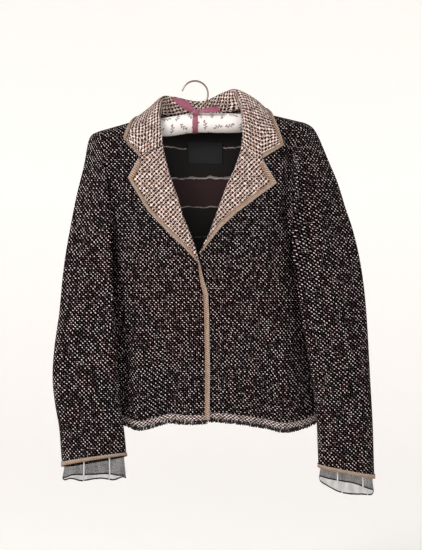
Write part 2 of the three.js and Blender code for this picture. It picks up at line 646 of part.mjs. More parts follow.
// The frill hangs from inside the cuff and opens in waves towards its lower edge.
function cuffFrill(side) {
  const { outZ, inZ, frontRise, backDrop, grow, waves, wave, phase } = FRILLS[side];
  const last = SLEEVES[side].length;
  const around = 36;
  const rows = steps(5, (t) =>
    turns(around).map((angle) => {
      const start = sleevePoint(side, FRILL_TOP_ROW, angle, FRILL_INSET);
      const end = sleevePoint(side, last, angle, FRILL_INSET);
      const c = Math.cos(angle);
      const s = Math.sin(angle);
      const lowZ = lerp(inZ, outZ, (1 + c) / 2) + s * (s > 0 ? frontRise : backDrop);
      const below = ease((t - 0.4) / 0.6);
      const ripple = wave * Math.sin(waves * angle + THREE.MathUtils.degToRad(phase)) * below;
      const p = t < 0.4 ? start.clone().lerp(end, t / 0.4) : end.clone();
      if (t >= 0.4) p.z = lerp(end.z, lowZ + ripple * 0.4, (t - 0.4) / 0.6);
      p.x += SIDES[side].out * c * grow * below;
      p.y += -s * (grow + ripple) * below;
      return p;
    }),
  );
  return wall(`frill_cuff_${side}`, rows, ORGANZA, SHEER, { ring: true, facing: SIDES[side].out });
}

// ---------------------------------------------------------------- lapels and collar

const between = (a, b, t) => ({ x: lerp(a.x, b.x, t), z: lerp(a.z, b.z, t) });

// Place along a polyline of {x, z} points, as a share of its length.
function alongLine(points, t) {
  const lengths = points.slice(1).map((p, i) => Math.hypot(p.x - points[i].x, p.z - points[i].z));
  let left = t * lengths.reduce((a, b) => a + b, 0);
  let i = 0;
  while (i < lengths.length - 1 && left > lengths[i]) {
    left -= lengths[i];
    i += 1;
  }
  return between(points[i], points[i + 1], left / lengths[i]);
}

const GORGE_SHARE = 0.55; // share of a lapel's top edge that is sewn to the collar

// Smooth curve with given slopes at its ends.
function hermite(a, slopeA, b, slopeB, t) {
  const t2 = t * t;
  const t3 = t2 * t;
  return a.clone().multiplyScalar(2 * t3 - 3 * t2 + 1)
    .addScaledVector(slopeA, t3 - 2 * t2 + t)
    .addScaledVector(b, 3 * t2 - 2 * t3)
    .addScaledVector(slopeB, t3 - t2);
}

const FOLD_ROUND = 15; // how widely the collar rounds over its fold

// One section of the collar: v is 0 at the neck seam, 1 at the fold, 2 at the middle of the fall, 3 at the edge.
function collarSection({ neck, fold, mid, edge, round }, v) {
  const [n, f, m, e] = [neck, fold, mid, edge].map((p) => vec(...p));
  const height = f.clone().sub(n.clone().add(m).multiplyScalar(0.5)).normalize();
  const over = m.clone().sub(n);
  over.addScaledVector(height, -over.dot(height)).normalize();
  const atMid = e.clone().sub(f).multiplyScalar(0.5 * round);
  if (v < 1) return hermite(n, f.clone().sub(n).multiplyScalar(0.9), f, over.multiplyScalar(FOLD_ROUND), v);
  if (v < 2) return hermite(f, over.multiplyScalar(FOLD_ROUND), m, atMid, v - 1);
  return hermite(m, atMid, e, e.clone().sub(m).multiplyScalar(round), v - 2);
}

// A point of the collar at a fractional section number and a place v across it.
function collarPoint(u, v) {
  const last = COLLAR.length - 1;
  const i = Math.min(Math.floor(u), last - 1);
  const [before, a, b, after] = [i - 1, i, i + 1, i + 2].map((k) => collarSection(COLLAR[clamp(k, 0, last)], v));
  return vec(...['x', 'y', 'z'].map((axis) => spline(before[axis], a[axis], b[axis], after[axis], u - i)));
}

const COLLAR_STATIONS = COLLAR.length - 1;

const COLLAR_END = 0.25; // share of the first section that the braid takes along the collar's end
const COLLAR_EDGE = 2.8;
const COLLAR_ROWS = [
  0, COLLAR_END, ...steps(2 * COLLAR_STATIONS - 2, (t) => lerp(0.5, COLLAR_STATIONS - 0.5, t)),
  COLLAR_STATIONS - COLLAR_END, COLLAR_STATIONS,
];

function collar() {
  const places = [0, 0.35, 0.7, 0.88, 1, 1.12, 1.3, 1.65, 2, 2.4, COLLAR_EDGE, 3];
  const rows = COLLAR_ROWS.map((u) => places.map((v) => collarPoint(u, v)));
  return wall('collar', rows, FACING, PALE_TWEED, { facing: -1 });
}

// The seam between a lapel and the collar, just under the collar's end.
function gorgePlace(side, t) {
  const { x, z } = collarPoint(side === 'right' ? 0 : COLLAR_STATIONS, 1 + t);
  return { x, z: z - 1.2 };
}

// Place on a lapel, seen from the front: u from the roll line to the outer edge, v from the closure to the top.
function lapelPlace(side, u, v) {
  const { closureZ, edge } = LAPELS[side];
  const rollAt = (t) => {
    const z = lerp(closureZ, ROLL_TOP_Z, t);
    return { x: read(INNER_EDGE[side], 'z', z, 'x'), z };
  };
  const tip = edge[edge.length - 1];
  const low = between(rollAt(0), edge[0], u);
  const top = u < GORGE_SHARE
    ? gorgePlace(side, u / GORGE_SHARE)
    : between(gorgePlace(side, 1), tip, (u - GORGE_SHARE) / (1 - GORGE_SHARE));
  const level = between(rollAt(v), alongLine(edge, v), u);
  const plain = between(low, between(rollAt(1), tip, u), v);
  const rise = between(low, top, v);
  return { x: level.x + rise.x - plain.x, z: level.z + rise.z - plain.z };
}

const LAPEL_GAP = 1.1; // between a lapel and the front under it
const LAPEL_LIFT = FACING + LAPEL_GAP;

function lapelPoint(side, u, v) {
  const { x, z } = lapelPlace(side, u, v);
  return vec(x, lappedY(side, x, z) - LAPEL_LIFT, z);
}

// Each row of a lapel is its whole section: the face from behind the roll to the outer edge, and the other side.
function lapelRows(side) {
  const { out } = SIDES[side];
  return steps(10, (v) => {
    const fold = lapelPoint(side, 0, v);
    const base = fold.y + LAPEL_LIFT;
    const rolled = ease((fold.z - LAPELS[side].closureZ - 12) / 36);
    const at = (off, y) => vec(fold.x + out * off, base + y, fold.z);
    const first = 4.5 / lapelPoint(side, 1, v).distanceTo(fold);
    const flat = steps(6, (s) => lapelPoint(side, lerp(first, 1, s), v));
    return {
      face: [...ROLL.map((r) => at(lerp(r.flatOut, r.out, rolled), lerp(r.flatY, r.y, rolled))), ...flat],
      under: [
        ...ROLL.map((r) => at(lerp(r.flatUnder, r.underOut, rolled), lerp(-LAPEL_GAP, r.underY, rolled))),
        ...flat.map((p) => p.clone().setY(p.y + FACING)),
      ],
    };
  });
}

function lapel(side) {
  const rows = lapelRows(side);
  const positions = [...rows.map(({ face }) => face), ...rows.map(({ under }) => under)].flat();
  const triangles = wallTriangles(rows.length, rows[0].face.length, false);
  return solid(`lapel_${side}`, positions.flatMap((p) => p.toArray()), triangles, PALE_TWEED);
}

// ---------------------------------------------------------------- braid trims

// A strip of braid laid on a surface between an outer and an inner line, each a list of [u, v] places.
function braid(name, outer, inner, surface, facing, lift = LAYER_GAP + BRAID) {
  const rows = outer.map((o, k) =>
    steps(1, (t) => surface(lerp(o[0], inner[k][0], t), lerp(o[1], inner[k][1], t))),
  );
  return wall(name, rows, BRAID, TAN, { facing, lift });
}

// Up the lapel's outer edge and round its tip to the notch.
function lapelTrim(side) {
  const shareAt = (v) => Math.min(0.7, BRAID_WIDTH / lapelPoint(side, 1, v).distanceTo(lapelPoint(side, 0, v)));
  const top = 0.94; // where the braid along the notch starts
  const rising = steps(9, (t) => lerp(0.01, top, t));
  const notch = steps(2, (t) => lerp(1 - shareAt(1), GORGE_SHARE + 0.03, t));
  const corner = 0.99 - shareAt(top);
  const outer = [...rising.map((v) => [1, v]), [1, 1], ...notch.map((u) => [u, 1])];
  const inner = [
    ...rising.map((v) => [1 - shareAt(v), v]), [corner, top], ...notch.map((u) => [Math.min(u, corner - 0.01), top]),
  ];
  return braid(`trim_lapel_${side}`, outer, inner, (u, v) => lapelPoint(side, u, v), -SIDES[side].out);
}

// From one notch out to the collar's corner, along its edge round the neck, and back to the other notch.
function collarTrim() {
  const last = COLLAR_STATIONS;
  const down = [2.06, 2.4, COLLAR_EDGE];
  const up = down.toReversed();
  const along = COLLAR_ROWS.slice(1, -1);
  const outer = [
    ...down.map((v) => [0, v]), [0, 3], ...along.map((u) => [u, 3]), [last, 3], ...up.map((v) => [last, v]),
  ];
  const inner = [
    ...down.map((v) => [COLLAR_END, v]), [COLLAR_END, COLLAR_EDGE], ...along.map((u) => [u, COLLAR_EDGE]),
    [last - COLLAR_END, COLLAR_EDGE], ...up.map((v) => [last - COLLAR_END, v]),
  ];
  return braid('trim_collar', outer, inner, collarPoint, 1);
}

// Down the right front's edge from the closure, where it narrows, to the hem. It covers the left front's edge.
function frontTrim() {
  const edgeX = (z) => read(INNER_EDGE.right, 'z', z, 'x');
  const top = LAPELS.right.closureZ - 4;
  const low = frontHemZ('right')(edgeX(-610)) + 1;
  const rows = steps(14, (t) => {
    const z = lerp(top, low, t);
    const width = lerp(3.5, EDGE_BRAID_WIDTH, ease(t * 5));
    return steps(2, (s) => {
      const x = edgeX(z) - width * s;
      return vec(x, frontY(x, z), z);
    });
  });
  return wall('trim_front_right', rows, BRAID, TAN, { facing: 1, lift: LAYER_GAP + BRAID });
}

// ---------------------------------------------------------------- frayed hem

const FRINGE_STRIP = 2.6;
const STRAND = 5.2;

// A narrow strip under a panel's hem with one pointed strand of yarn under each of its cells. facing is 1 where
// the panel's visible face is on the left of the row of points, as seen from above.
function fringe(name, points, facing) {
  const across = points.length;
  const low = points.map((p) => p.clone().setZ(p.z - FRINGE_STRIP - 2 * SEAM_GAP));
  const high = points.map((p) => p.clone().setZ(p.z - 2 * SEAM_GAP));
  const behind = (row) =>
    row.map((p, j) => {
      const along = row[Math.min(j + 1, across - 1)].clone().sub(row[Math.max(j - 1, 0)]);
      return p.clone().addScaledVector(vec(along.y, -along.x, 0).normalize(), facing * (CLOTH - 0.2));
    });
  const back = [behind(low), behind(high)];
  const positions = [low, high, ...back].flat().flatMap((p) => p.toArray());
  const triangles = wallTriangles(2, across, false, true);
  for (let j = 0; j < across - 1; j += 1) {
    const corners = [j, j + 1, 2 * across + j + 1, 2 * across + j];
    const middle = low[j].clone().add(low[j + 1]).add(back[0][j]).add(back[0][j + 1]).multiplyScalar(0.25);
    const length = STRAND * (0.85 + 0.2 * Math.sin(j * 2.4) + 0.12 * Math.sin(j * 5.7));
    positions.push(middle.x + 1.1 * Math.sin(j * 3.1), middle.y + 0.8 * Math.sin(j * 1.7), middle.z - length);
    const point = positions.length / 3 - 1;
    corners.forEach((corner, k) => triangles.push([corners[(k + 1) % 4], corner, point]));
  }
  return solid(name, positions, triangles, DARK_YARN);
}

// Evenly spaced points under a panel's lowest row, a little short of its ends.
function underHem(row, count) {
  const lengths = row.slice(1).map((p, i) => p.distanceTo(row[i]));
  const whole = lengths.reduce((a, b) => a + b, 0);
  return steps(count, (t) => {
    let left = lerp(0.6, whole - 0.8, t);
    let i = 0;
    while (i < lengths.length - 1 && left > lengths[i]) {
      left -= lengths[i];
      i += 1;
    }
    return row[i].clone().lerp(row[i + 1], left / lengths[i]);
  });
}

// ---------------------------------------------------------------- lining and label

// The lining is sewn in under the back neck, and below that hangs clear of the folds that stand in from the back.
const LINING_EASE = 9;
const LINING_TOP = 10; // below the back neck
const liningY = (x, z) => {
  const sewn = neckShare(x) * ease(1 - (topZ('back', x) - LINING_TOP - z) / 60);
  return bodyY('back', x, z) - CLOTH - lerp(LINING_EASE, CONTACT_GAP, sewn);
};

function backLining() {
  const rows = steps(9, (t) => {
    const low = -588;
    const zAt = (x) => lerp(low, topZ('back', x) - LINING_TOP - 24 * (1 - neckShare(x)), 1 - (1 - t) ** 1.3);
    const ends = ['right', 'left'].map((side) => lerp(CENTRE_X, sideEdge('back', side, zAt(0)).x, 0.84));
    return steps(10, (s) => {
      const x = lerp(ends[0], ends[1], s);
      const z = zAt(x);
      return vec(x, liningY(x, z), z);
    });
  });
  return wall('lining_back', rows, LINING, SILK, { facing: 1, lift: LINING });
}

// A blank woven label on the lining, under the neck.
function label() {
  const LABEL = { x: -14, z: -150, width: 66, height: 42 };
  const rows = steps(2, (t) =>
    steps(4, (s) => {
      const x = LABEL.x + LABEL.width * s;
      const z = LABEL.z + LABEL.height * t;
      return vec(x, liningY(x, z) - LINING, z);
    }),
  );
  return wall('neck_label', rows, LINING, LABEL_SATIN, { facing: 1, lift: LAYER_GAP + LINING });
}

// ---------------------------------------------------------------- hanger

// Top of the padded bar: a low crown in the neck, then close under the shoulder seams.
function barTop(x) {
  const seat = shoulderZ(sideOf(x), x) - CLOTH - SEAT_GAP;
  const crown = read(BAR_CROWN, 'x', x, 'top');
  const outside = x < CENTRE_X ? ease((-x - 75) / 30) : ease((x - 90) / 30);
  return lerp(Math.min(crown, seat), seat, outside);
}

function barSection(x) {
  const end = Math.min(x - BAR.startX, BAR.endX - x);
  const taper = Math.sqrt(1 - (1 - clamp(end / 16, 0, 1)) ** 2);
  const length = (BAR.endX - BAR.startX) / 2;
  const share = ease(1.15 - (1.5 * end) / length);
  const high = lerp(BAR.halfHeight, BAR.endHalfHeight, share);
  const deep = lerp(BAR.halfDepth, BAR.endHalfDepth, share);
  return turns(14).map((angle) =>
    vec(x, deep * taper * Math.sin(angle), barTop(x) + high * (taper * Math.cos(angle) - 1)),
  );
}

// Closes a row of sections into a solid, with a point at each end.
function loft(name, sections, material) {
  const around = sections[0].length;
  const positions = sections.flat().flatMap((p) => p.toArray());
  const triangles = [];
  for (let i = 0; i < sections.length - 1; i += 1)
    for (let j = 0; j < around; j += 1) {
      const [a, b] = [i * around + j, i * around + ((j + 1) % around)];
      triangles.push([a, b, b + around], [a, b + around, a + around]);
    }
  const cap = (section, base, turn) => {
    const middle = section.reduce((sum, p) => sum.add(p), vec(0, 0, 0)).divideScalar(around);
    const centre = positions.length / 3;
    positions.push(...middle.toArray());
    for (let j = 0; j < around; j += 1) {
      const [a, b] = [base + j, base + ((j + 1) % around)];
      triangles.push(turn ? [centre, a, b] : [centre, b, a]);
    }
  };
  cap(sections[0], 0, false);
  cap(sections[sections.length - 1], (sections.length - 1) * around, true);
  return solid(name, positions, triangles, material);
}

function paddedBar() {
  const nearEnds = [0.6, 3, 8];
  const inner = steps(16, (t) => lerp(BAR.startX + 16, BAR.endX - 16, t));
  const stations = [
    ...nearEnds.map((d) => BAR.startX + d), ...inner, ...nearEnds.toReversed().map((d) => BAR.endX - d),
  ];
  return loft('hanger_bar', stations.map((x) => barSection(x)), PRINT);
}

function hook() {
  const { wire, radius, tipAngle, neckAngle, shankX } = HOOK;
  const ring = steps(16, (t) => {
    const a = THREE.MathUtils.degToRad(lerp(tipAngle, neckAngle, t));
    return vec(radius * Math.cos(a), 0, wire - radius + radius * Math.sin(a));
  });
  const bend = [vec(11.6, 0, -45), vec(shankX, 0, -49.5)];
  const path = [...ring, ...bend, vec(shankX, 0, barTop(shankX) + CONTACT_GAP)];
  const sections = path.map((p, i) => {
    const along = path[Math.min(i + 1, path.length - 1)].clone().sub(path[Math.max(i - 1, 0)]).normalize();
    if (i === path.length - 1) along.set(0, 0, -1);
    const across = vec(along.z, 0, -along.x);
    return turns(8).map((angle) =>
      p.clone().addScaledVector(across, wire * Math.cos(angle)).add(vec(0, wire * Math.sin(angle), 0)),
    );
  });
  return loft('hanger_hook', sections, STEEL);
}

// Satin ribbon round the middle of the bar.
function ribbonWrap() {
  const rows = [-5, 0, 5].map((x) => barSection(x + 0.5));
  return wall('ribbon_wrap', rows, SATIN, RIBBON, { ring: true, facing: -1, lift: CONTACT_GAP + SATIN });
}

function ribbonKnot() {
  const centre = vec(2, -15.8, -58);
  const sections = steps(6, (t) => {
    const x = lerp(-5.4, 5.4, t);
    const size = bow(clamp(x / 5.6, -1, 1), 2.6);
    return turns(8).map((a) =>
      vec(centre.x + x, centre.y + 3.2 * size * Math.sin(a), centre.z + 5 * size * Math.cos(a)),
    );
  });
  return loft('ribbon_knot', sections, RIBBON);
}

// A bow end: a flat ribbon along a curve, wider and more turned towards its free end.
function ribbonEnd(name, path, facing) {
  const curve = new THREE.CatmullRomCurve3(path.map(({ x, y, z }) => vec(x, y, z)));
  const rows = steps(8, (t) => {
    const p = curve.getPoint(t);
    const i = t * (path.length - 1);
    const width = readRow(path, i, 'width') / 2;
    const tilt = THREE.MathUtils.degToRad(readRow(path, i, 'tilt'));
    const across = vec(Math.sin(tilt), 0.25, Math.cos(tilt));
    return steps(2, (s) => p.clone().addScaledVector(across, width * (2 * s - 1)));
  });
  return wall(name, rows, SATIN, RIBBON, { facing });
}

const BOW_RIGHT = [
  { x: -3.5, y: -16.3, z: -56, width: 7, tilt: 20 },
  { x: -12, y: -19, z: -49, width: 14, tilt: 28 },
  { x: -26, y: -19, z: -40, width: 13, tilt: 34 },
  { x: -40, y: -17, z: -33.5, width: 5, tilt: 40 },
];
const BOW_LEFT = [
  { x: 7.8, y: -16.3, z: -57, width: 6, tilt: 0 },
  { x: 18, y: -20, z: -55.5, width: 8, tilt: -6 },
  { x: 32, y: -20, z: -54, width: 10, tilt: -12 },
  { x: 44, y: -18, z: -52, width: 10, tilt: -14 },
];

// ---------------------------------------------------------------- the whole blazer

const blazer = new THREE.Group();
for (const side of ['right', 'left'])
  blazer.add(
    frontPanel(side), sleeve(side), cuffTrim(side), cuffFrill(side), lapel(side), lapelTrim(side),
    fringe(`fringe_front_${side}`, underHem(FRONT_ROWS[side][0], 66), -SIDES[side].out),
  );
blazer.add(
  frontTrim(), backPanel(), fringe('fringe_back', underHem(BACK_ROWS[0], 88), -1), collar(), collarTrim(),
  backLining(), label(),
);

const hanger = new THREE.Group();
hanger.add(
  paddedBar(), hook(), ribbonWrap(), ribbonKnot(), ribbonEnd('ribbon_bow_right', BOW_RIGHT, 1),
  ribbonEnd('ribbon_bow_left', BOW_LEFT, -1),
);

const part = new THREE.Group();
part.add(blazer, hanger);

export default part;
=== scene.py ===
# A short tweed blazer on a padded hanger. +Z is up, -Y is the front, and the origin is at the hook's inner
# top. Sizes and tables are in millimetres, and meshes in metres. Right and left are the wearer's: right is
# at -X.
import math
import bpy
import numpy as np
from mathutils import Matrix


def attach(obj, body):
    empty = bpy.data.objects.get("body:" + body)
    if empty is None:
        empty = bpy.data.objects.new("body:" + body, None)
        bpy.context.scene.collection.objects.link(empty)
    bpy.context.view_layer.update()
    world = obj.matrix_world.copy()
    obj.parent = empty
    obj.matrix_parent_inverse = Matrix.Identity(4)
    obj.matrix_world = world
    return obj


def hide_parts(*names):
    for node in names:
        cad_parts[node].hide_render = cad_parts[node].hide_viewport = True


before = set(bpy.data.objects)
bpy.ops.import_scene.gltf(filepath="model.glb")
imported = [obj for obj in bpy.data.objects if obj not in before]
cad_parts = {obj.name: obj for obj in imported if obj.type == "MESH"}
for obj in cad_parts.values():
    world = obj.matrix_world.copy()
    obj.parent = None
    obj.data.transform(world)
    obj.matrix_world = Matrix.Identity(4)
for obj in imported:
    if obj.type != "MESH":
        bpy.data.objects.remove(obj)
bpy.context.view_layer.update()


# ---------------------------------------------------------------- Camera, floor and light
# A long lens looks straight at the fronts. The blazer hangs over a pale studio floor that curves up into a
# wall, with a soft light at each side of the camera and even light from all round.
WARM_WHITE = (1.0, 0.985, 0.975)
LIT_POINT = (0, 0, -0.35)
scene = bpy.context.scene
scene.view_settings.view_transform = "Standard"

camera = bpy.data.objects.new("camera", bpy.data.cameras.new("camera"))
camera.location = (0.0296, -2.0, -0.357)
camera.rotation_euler = (math.radians(90), 0, 0)
camera.data.sensor_width = 36
camera.data.lens = 70.8
scene.collection.objects.link(camera)
scene.camera = camera

world = bpy.data.worlds.new("studio")
world.use_nodes = True
world.node_tree.nodes["Background"].inputs["Color"].default_value = (*WARM_WHITE, 1)
world.node_tree.nodes["Background"].inputs["Strength"].default_value = 0.3
scene.world = world


def soft_light(name, place, size, watts, tint):
    """A round soft light, in metres and watts, that is turned to the middle of the blazer."""
    lamp = bpy.data.lights.new(name, "AREA")
    lamp.shape, lamp.size, lamp.energy, lamp.color = "DISK", size, watts, tint
    light = bpy.data.objects.new(name, lamp)
    light.location = place
    aim = np.array(LIT_POINT) - np.array(place)
    tilt, heading = math.atan2(math.hypot(*aim[:2]), -aim[2]), math.atan2(aim[1], aim[0])
    light.rotation_euler = (tilt, 0, heading - math.pi / 2)
    scene.collection.objects.link(light)


soft_light("key", (-1.7, -1.7, 1.4), 1.0, 60, WARM_WHITE)
soft_light("fill", (2.0, -1.9, 0.3), 1.6, 9, (1.0, 0.99, 0.985))

FLOOR_Z, FLOOR_RADIUS, SWEEP, WALL_TOP = -1.1, 2.6, 1.2, 1.8
FLOOR_SIDES, SWEEP_STEPS = 96, 12
profile = [(0.02, FLOOR_Z), (1.2, FLOOR_Z), (FLOOR_RADIUS, FLOOR_Z)]
profile += [(FLOOR_RADIUS + SWEEP * math.sin(a), FLOOR_Z + SWEEP * (1 - math.cos(a)))
            for a in np.linspace(0.1, math.pi / 2, SWEEP_STEPS)]
profile += [(FLOOR_RADIUS + SWEEP, WALL_TOP)]
floor_points = [(r * math.cos(a), r * math.sin(a), z) for r, z in profile
                for a in np.linspace(0, 2 * math.pi, FLOOR_SIDES, endpoint=False)]
floor_faces = [tuple(range(FLOOR_SIDES))]
for ring in range(len(profile) - 1):
    for k in range(FLOOR_SIDES):
        low, after = ring * FLOOR_SIDES, (k + 1) % FLOOR_SIDES
        floor_faces.append((low + k, low + FLOOR_SIDES + k, low + FLOOR_SIDES + after, low + after))
floor_mesh = bpy.data.meshes.new("studio_floor")
floor_mesh.from_pydata(floor_points, [], floor_faces)
floor_mesh.polygons.foreach_set("use_smooth", [True] * len(floor_mesh.polygons))
pale = bpy.data.materials.new("pale_studio")
pale.use_nodes = True
pale_shader = pale.node_tree.nodes["Principled BSDF"]
pale_shader.inputs["Base Color"].default_value = (0.86, 0.84, 0.82, 1)
pale_shader.inputs["Roughness"].default_value = 0.9
pale_shader.inputs["Emission Color"].default_value = (1.0, 0.98, 0.96, 1)
pale_shader.inputs["Emission Strength"].default_value = 0.28
floor_mesh.materials.append(pale)
floor = bpy.data.objects.new("studio_floor", floor_mesh)
scene.collection.objects.link(floor)


# ---------------------------------------------------------------- Fronts and back
# Two fronts and a back of basket-weave tweed: thick brown-black yarn crossed by a slubby cream one that
# shows as short slanting flecks. They are cut flat, sewn at the shoulders and sides, and the right front
# laps over the left one.
MM = 0.001
CLOTH = 2.0
CENTRE_X = 12.0
LOOP_POWER = 2.5
SHOULDER_ROUND, SHOULDER_POWER = 45.0, 2.2
NECK_DIP, NECK_BACK_Y, NECK_POWER = 12.0, 31.0, 2.2
FACE_TURN = {"front": 1.9, "back": 2.6}
EDGE_TURN = 13
HEM_Z, HEM_EVENED = -620, 250


def table(columns, *rows):
    """A table by its columns, named in one string. Each row is a tuple."""
    return dict(zip(columns.split(), np.array(rows, float).T))


# y of the outside by height: in the middle of the front and the back, and where each turns to its sides.
DEPTH = table(
    "z front back front_turn back_turn",
    (-660, -47, 35, 18, 18), (-540, -50, 35, 16, 17), (-430, -50, 34, 8, 17), (-360, -52, 36, -3, 19),
    (-303, -51, 37, -12, 22), (-240, -49, 37, -20, 26), (-180, -45, 37, -23, 28), (-120, -38, 35, -23, 27),
    (-60, -29, 33, -21, 25), (0, -26, 32, -20, 24),
)
# The shoulder line's neck point (x, z) and tip (x, y, z), the underarm point, how deep an armhole is towards
# the front and the back and how far it bows inwards there, and the side seam below it.
SIDES = {
    "right": {
        "out": -1, "neck": (-66, -59.4), "tip": (-178, 0, -91.8), "foot": (-166, 8, -303),
        "front": {"depth": 36, "lean": 14}, "back": {"depth": 32, "lean": 8},
        "seam": table(
            "z x y",
            (-660, -204, 18), (-540, -192, 17), (-430, -180, 14), (-360, -172, 11), (-303, -166, 8),
        ),
    },
    "left": {
        "out": 1, "neck": (88, -48.5), "tip": (204, 0, -76.3), "foot": (190, 8, -295),
        "front": {"depth": 36, "lean": 15}, "back": {"depth": 32, "lean": 8},
        "seam": table(
            "z x y",
            (-660, 243, 18), (-540, 230, 17), (-430, 215, 14), (-350, 201, 11), (-295, 190, 8),
        ),
    },
}
# Each front's inner edge, which is also the line that its lapel rolls over, and the height of each hem.
INNER_EDGE = {
    "right": table(
        "z x",
        (-640, 27), (-546, 27.6), (-480, 27.2), (-392, 24.5), (-362, 16), (-337, 10), (-318, 4.4),
        (-289, -5.2), (-253, -19.6), (-212, -31.7), (-170, -46.5), (-120, -57.5), (-90, -60.5),
        (-50, -60),
    ),
    "left": table(
        "z x",
        (-640, -4), (-400, -4), (-352, -3), (-325, 4.6), (-311, 11.7), (-282, 26.2), (-234, 43.1),
        (-195, 57.6), (-156, 74.7), (-120, 84.8), (-90, 84.5), (-40, 82),
    ),
}
HEM = {
    "right": table(
        "x z",
        (-205, -612), (-160, -619), (-129, -624), (-101, -631), (-68, -624.5), (-44, -618.5), (-20, -620),
        (30, -619),
    ),
    "left": table(
        "x z",
        (-12, -615), (37, -616), (90, -621), (130, -629), (150, -634), (165, -635.5), (184, -634),
        (211, -628), (245, -614),
    ),
    "back": table("x z", (-205, -612), (-100, -609), (10, -610), (120, -609), (245, -614)),
}
# The left front stands back by FRONT_LAP where the right one covers it. Above the closure both fronts end a
# little behind the lapels' rolled edge. A valley as deep as ARMHOLE_DIP runs down beside each armhole.
FRONT_LAP, LAP_X, LAP_FADE = 3.4, 32, 50
LAPEL_CLOSURE_Z = {"right": -334, "left": -318}
FRONT_BEHIND_ROLL, BEHIND_START, BEHIND_FADE = 7, -12, 30
ARMHOLE_DIP = {"right": 4.0, "left": 13.0}
DIP_FROM_EDGE, DIP_WIDTH, DIP_START = 10, 9, 5
DIP_FOOT_Z, DIP_FOOT_FADE, DIP_TOP_GAP, DIP_TOP_FADE = -300, 60, 14, 50

# Folds of the hanging cloth, each on a line from (x, z) to (end_x, end_z); depth is how far it stands out. It
# comes in over the first part of the line, and goes on past the line's end to FOLD_REACH times its length.
FOLD_FADE, FOLD_REACH = 2.2, 1.6
FOLD_EDGE_POWER, FOLD_TOP_FADE = 6, 80
FOLDS = {
    "front": table(
        "x z end_x end_z width depth",
        (-94, -380, -100, -650, 22, 8), (-128, -400, -131, -650, 14, -5), (-52, -470, -46, -650, 22, -6),
        (-10, -450, -4, -650, 20, 3), (88, -440, 92, -650, 22, 3), (126, -400, 130, -650, 17, -6),
        (156, -370, 167, -650, 20, 10), (128, -150, 140, -330, 26, 4), (-96, -160, -112, -330, 24, 4),
    ),
    "back": table(
        "x z end_x end_z width depth",
        (-120, -380, -132, -650, 26, 3), (-70, -420, -74, -650, 22, -8), (-18, -400, -14, -650, 26, 2),
        (36, -420, 40, -650, 22, -6), (96, -400, 102, -650, 26, 3), (152, -430, 162, -650, 22, -8),
        (-100, -150, -112, -320, 22, -5), (124, -140, 134, -310, 22, -5),
    ),
}
# Smaller creases, each through (x, z), slanting by slant for each unit down, with its own length, width and
# depth.
CREASES = {
    "front": table(
        "x z slant length width depth",
        (-128, -262, -0.45, 60, 9, -1.8), (-118, -288, -0.7, 46, 7, 1.4), (-86, -330, -0.25, 70, 10, -1.4),
        (-140, -350, -0.2, 50, 8, 1.5), (-60, -400, 0.1, 80, 11, -1.5), (-24, -350, 0.35, 46, 8, -1.2),
        (-30, -520, 0.06, 90, 10, 1.6), (-74, -540, -0.05, 70, 9, -1.5), (-116, -500, 0.04, 80, 8, 1.3),
        (56, -360, -0.3, 60, 9, -1.3), (84, -330, -0.2, 80, 11, 1.4), (150, -270, 0.5, 56, 8, -1.8),
        (158, -300, 0.8, 44, 7, 1.4), (110, -470, 0.05, 90, 9, 1.4), (62, -520, 0.03, 90, 12, -1.7),
        (142, -540, 0.05, 80, 8, -1.6), (188, -500, 0.08, 90, 9, 1.6), (106, -220, 0.12, 90, 12, -1.4),
        (-84, -200, -0.1, 80, 12, -1.2),
    ),
    "back": table(
        "x z slant length width depth",
        (-130, -270, -0.5, 60, 9, -1.8), (-96, -350, -0.1, 90, 11, 1.5), (-44, -300, 0.1, 90, 13, -1.6),
        (10, -360, 0.0, 100, 14, 1.5), (64, -300, -0.1, 90, 13, -1.6), (110, -360, 0.1, 90, 11, 1.5),
        (156, -270, 0.5, 60, 9, -1.8), (-40, -520, 0.0, 90, 10, 1.6), (16, -540, 0.0, 80, 9, -1.5),
        (70, -520, 0.0, 90, 10, 1.6), (126, -540, 0.04, 80, 9, -1.6), (-110, -540, -0.03, 80, 9, 1.5),
    ),
}


def lerp(a, b, t):
    """From a at t = 0 straight to b at t = 1, and on beyond."""
    return a + (b - a) * t


def ease(t):
    """From 0 at t = 0 smoothly to 1 at t = 1, and level beyond."""
    t = np.clip(t, 0, 1)
    return t * t * (3 - 2 * t)


def bow(v, power):
    """An arch from 0 at v = -1 over 1 at v = 0 to 0 at v = 1, the squarer the higher the power."""
    return np.maximum(0, 1 - np.abs(v) ** power) ** (1 / power)


def squash(v, power):
    """Turns the sine or cosine of a circle into that of a squarer one."""
    return np.sign(v) * np.abs(v) ** (2 / power)


def spline(before, a, b, after, t):
    """A smooth curve through four values, between the middle two."""
    rise, fall = (b - before) / 2, (after - a) / 2
    t2, t3 = t * t, t ** 3
    return (2 * t3 - 3 * t2 + 1) * a + (t3 - 2 * t2 + t) * rise + (3 * t2 - 2 * t3) * b + (t3 - t2) * fall


def read(rows, key, at, column):
    """A column of a table at values of its key column, on a smooth curve through the rows."""
    keys, values, last = rows[key], rows[column], len(rows[key]) - 1
    i = np.clip(np.searchsorted(keys, at) - 1, 0, last - 1)
    t = np.clip((at - keys[i]) / (keys[i + 1] - keys[i]), 0, 1)
    return spline(*(values[np.clip(i + k, 0, last)] for k in (-1, 0, 1, 2)), t)


def shoulder_z(x):
    """Height of the shoulder line, a straight slope on each side of the neck."""
    ends = [SIDES[side]["neck"] + SIDES[side]["tip"] for side in ("right", "left")]
    right, left = (nz + (x - nx) * (tz - nz) / (tx - nx) for nx, nz, tx, _, tz in ends)
    return np.where(x < CENTRE_X, right, left)


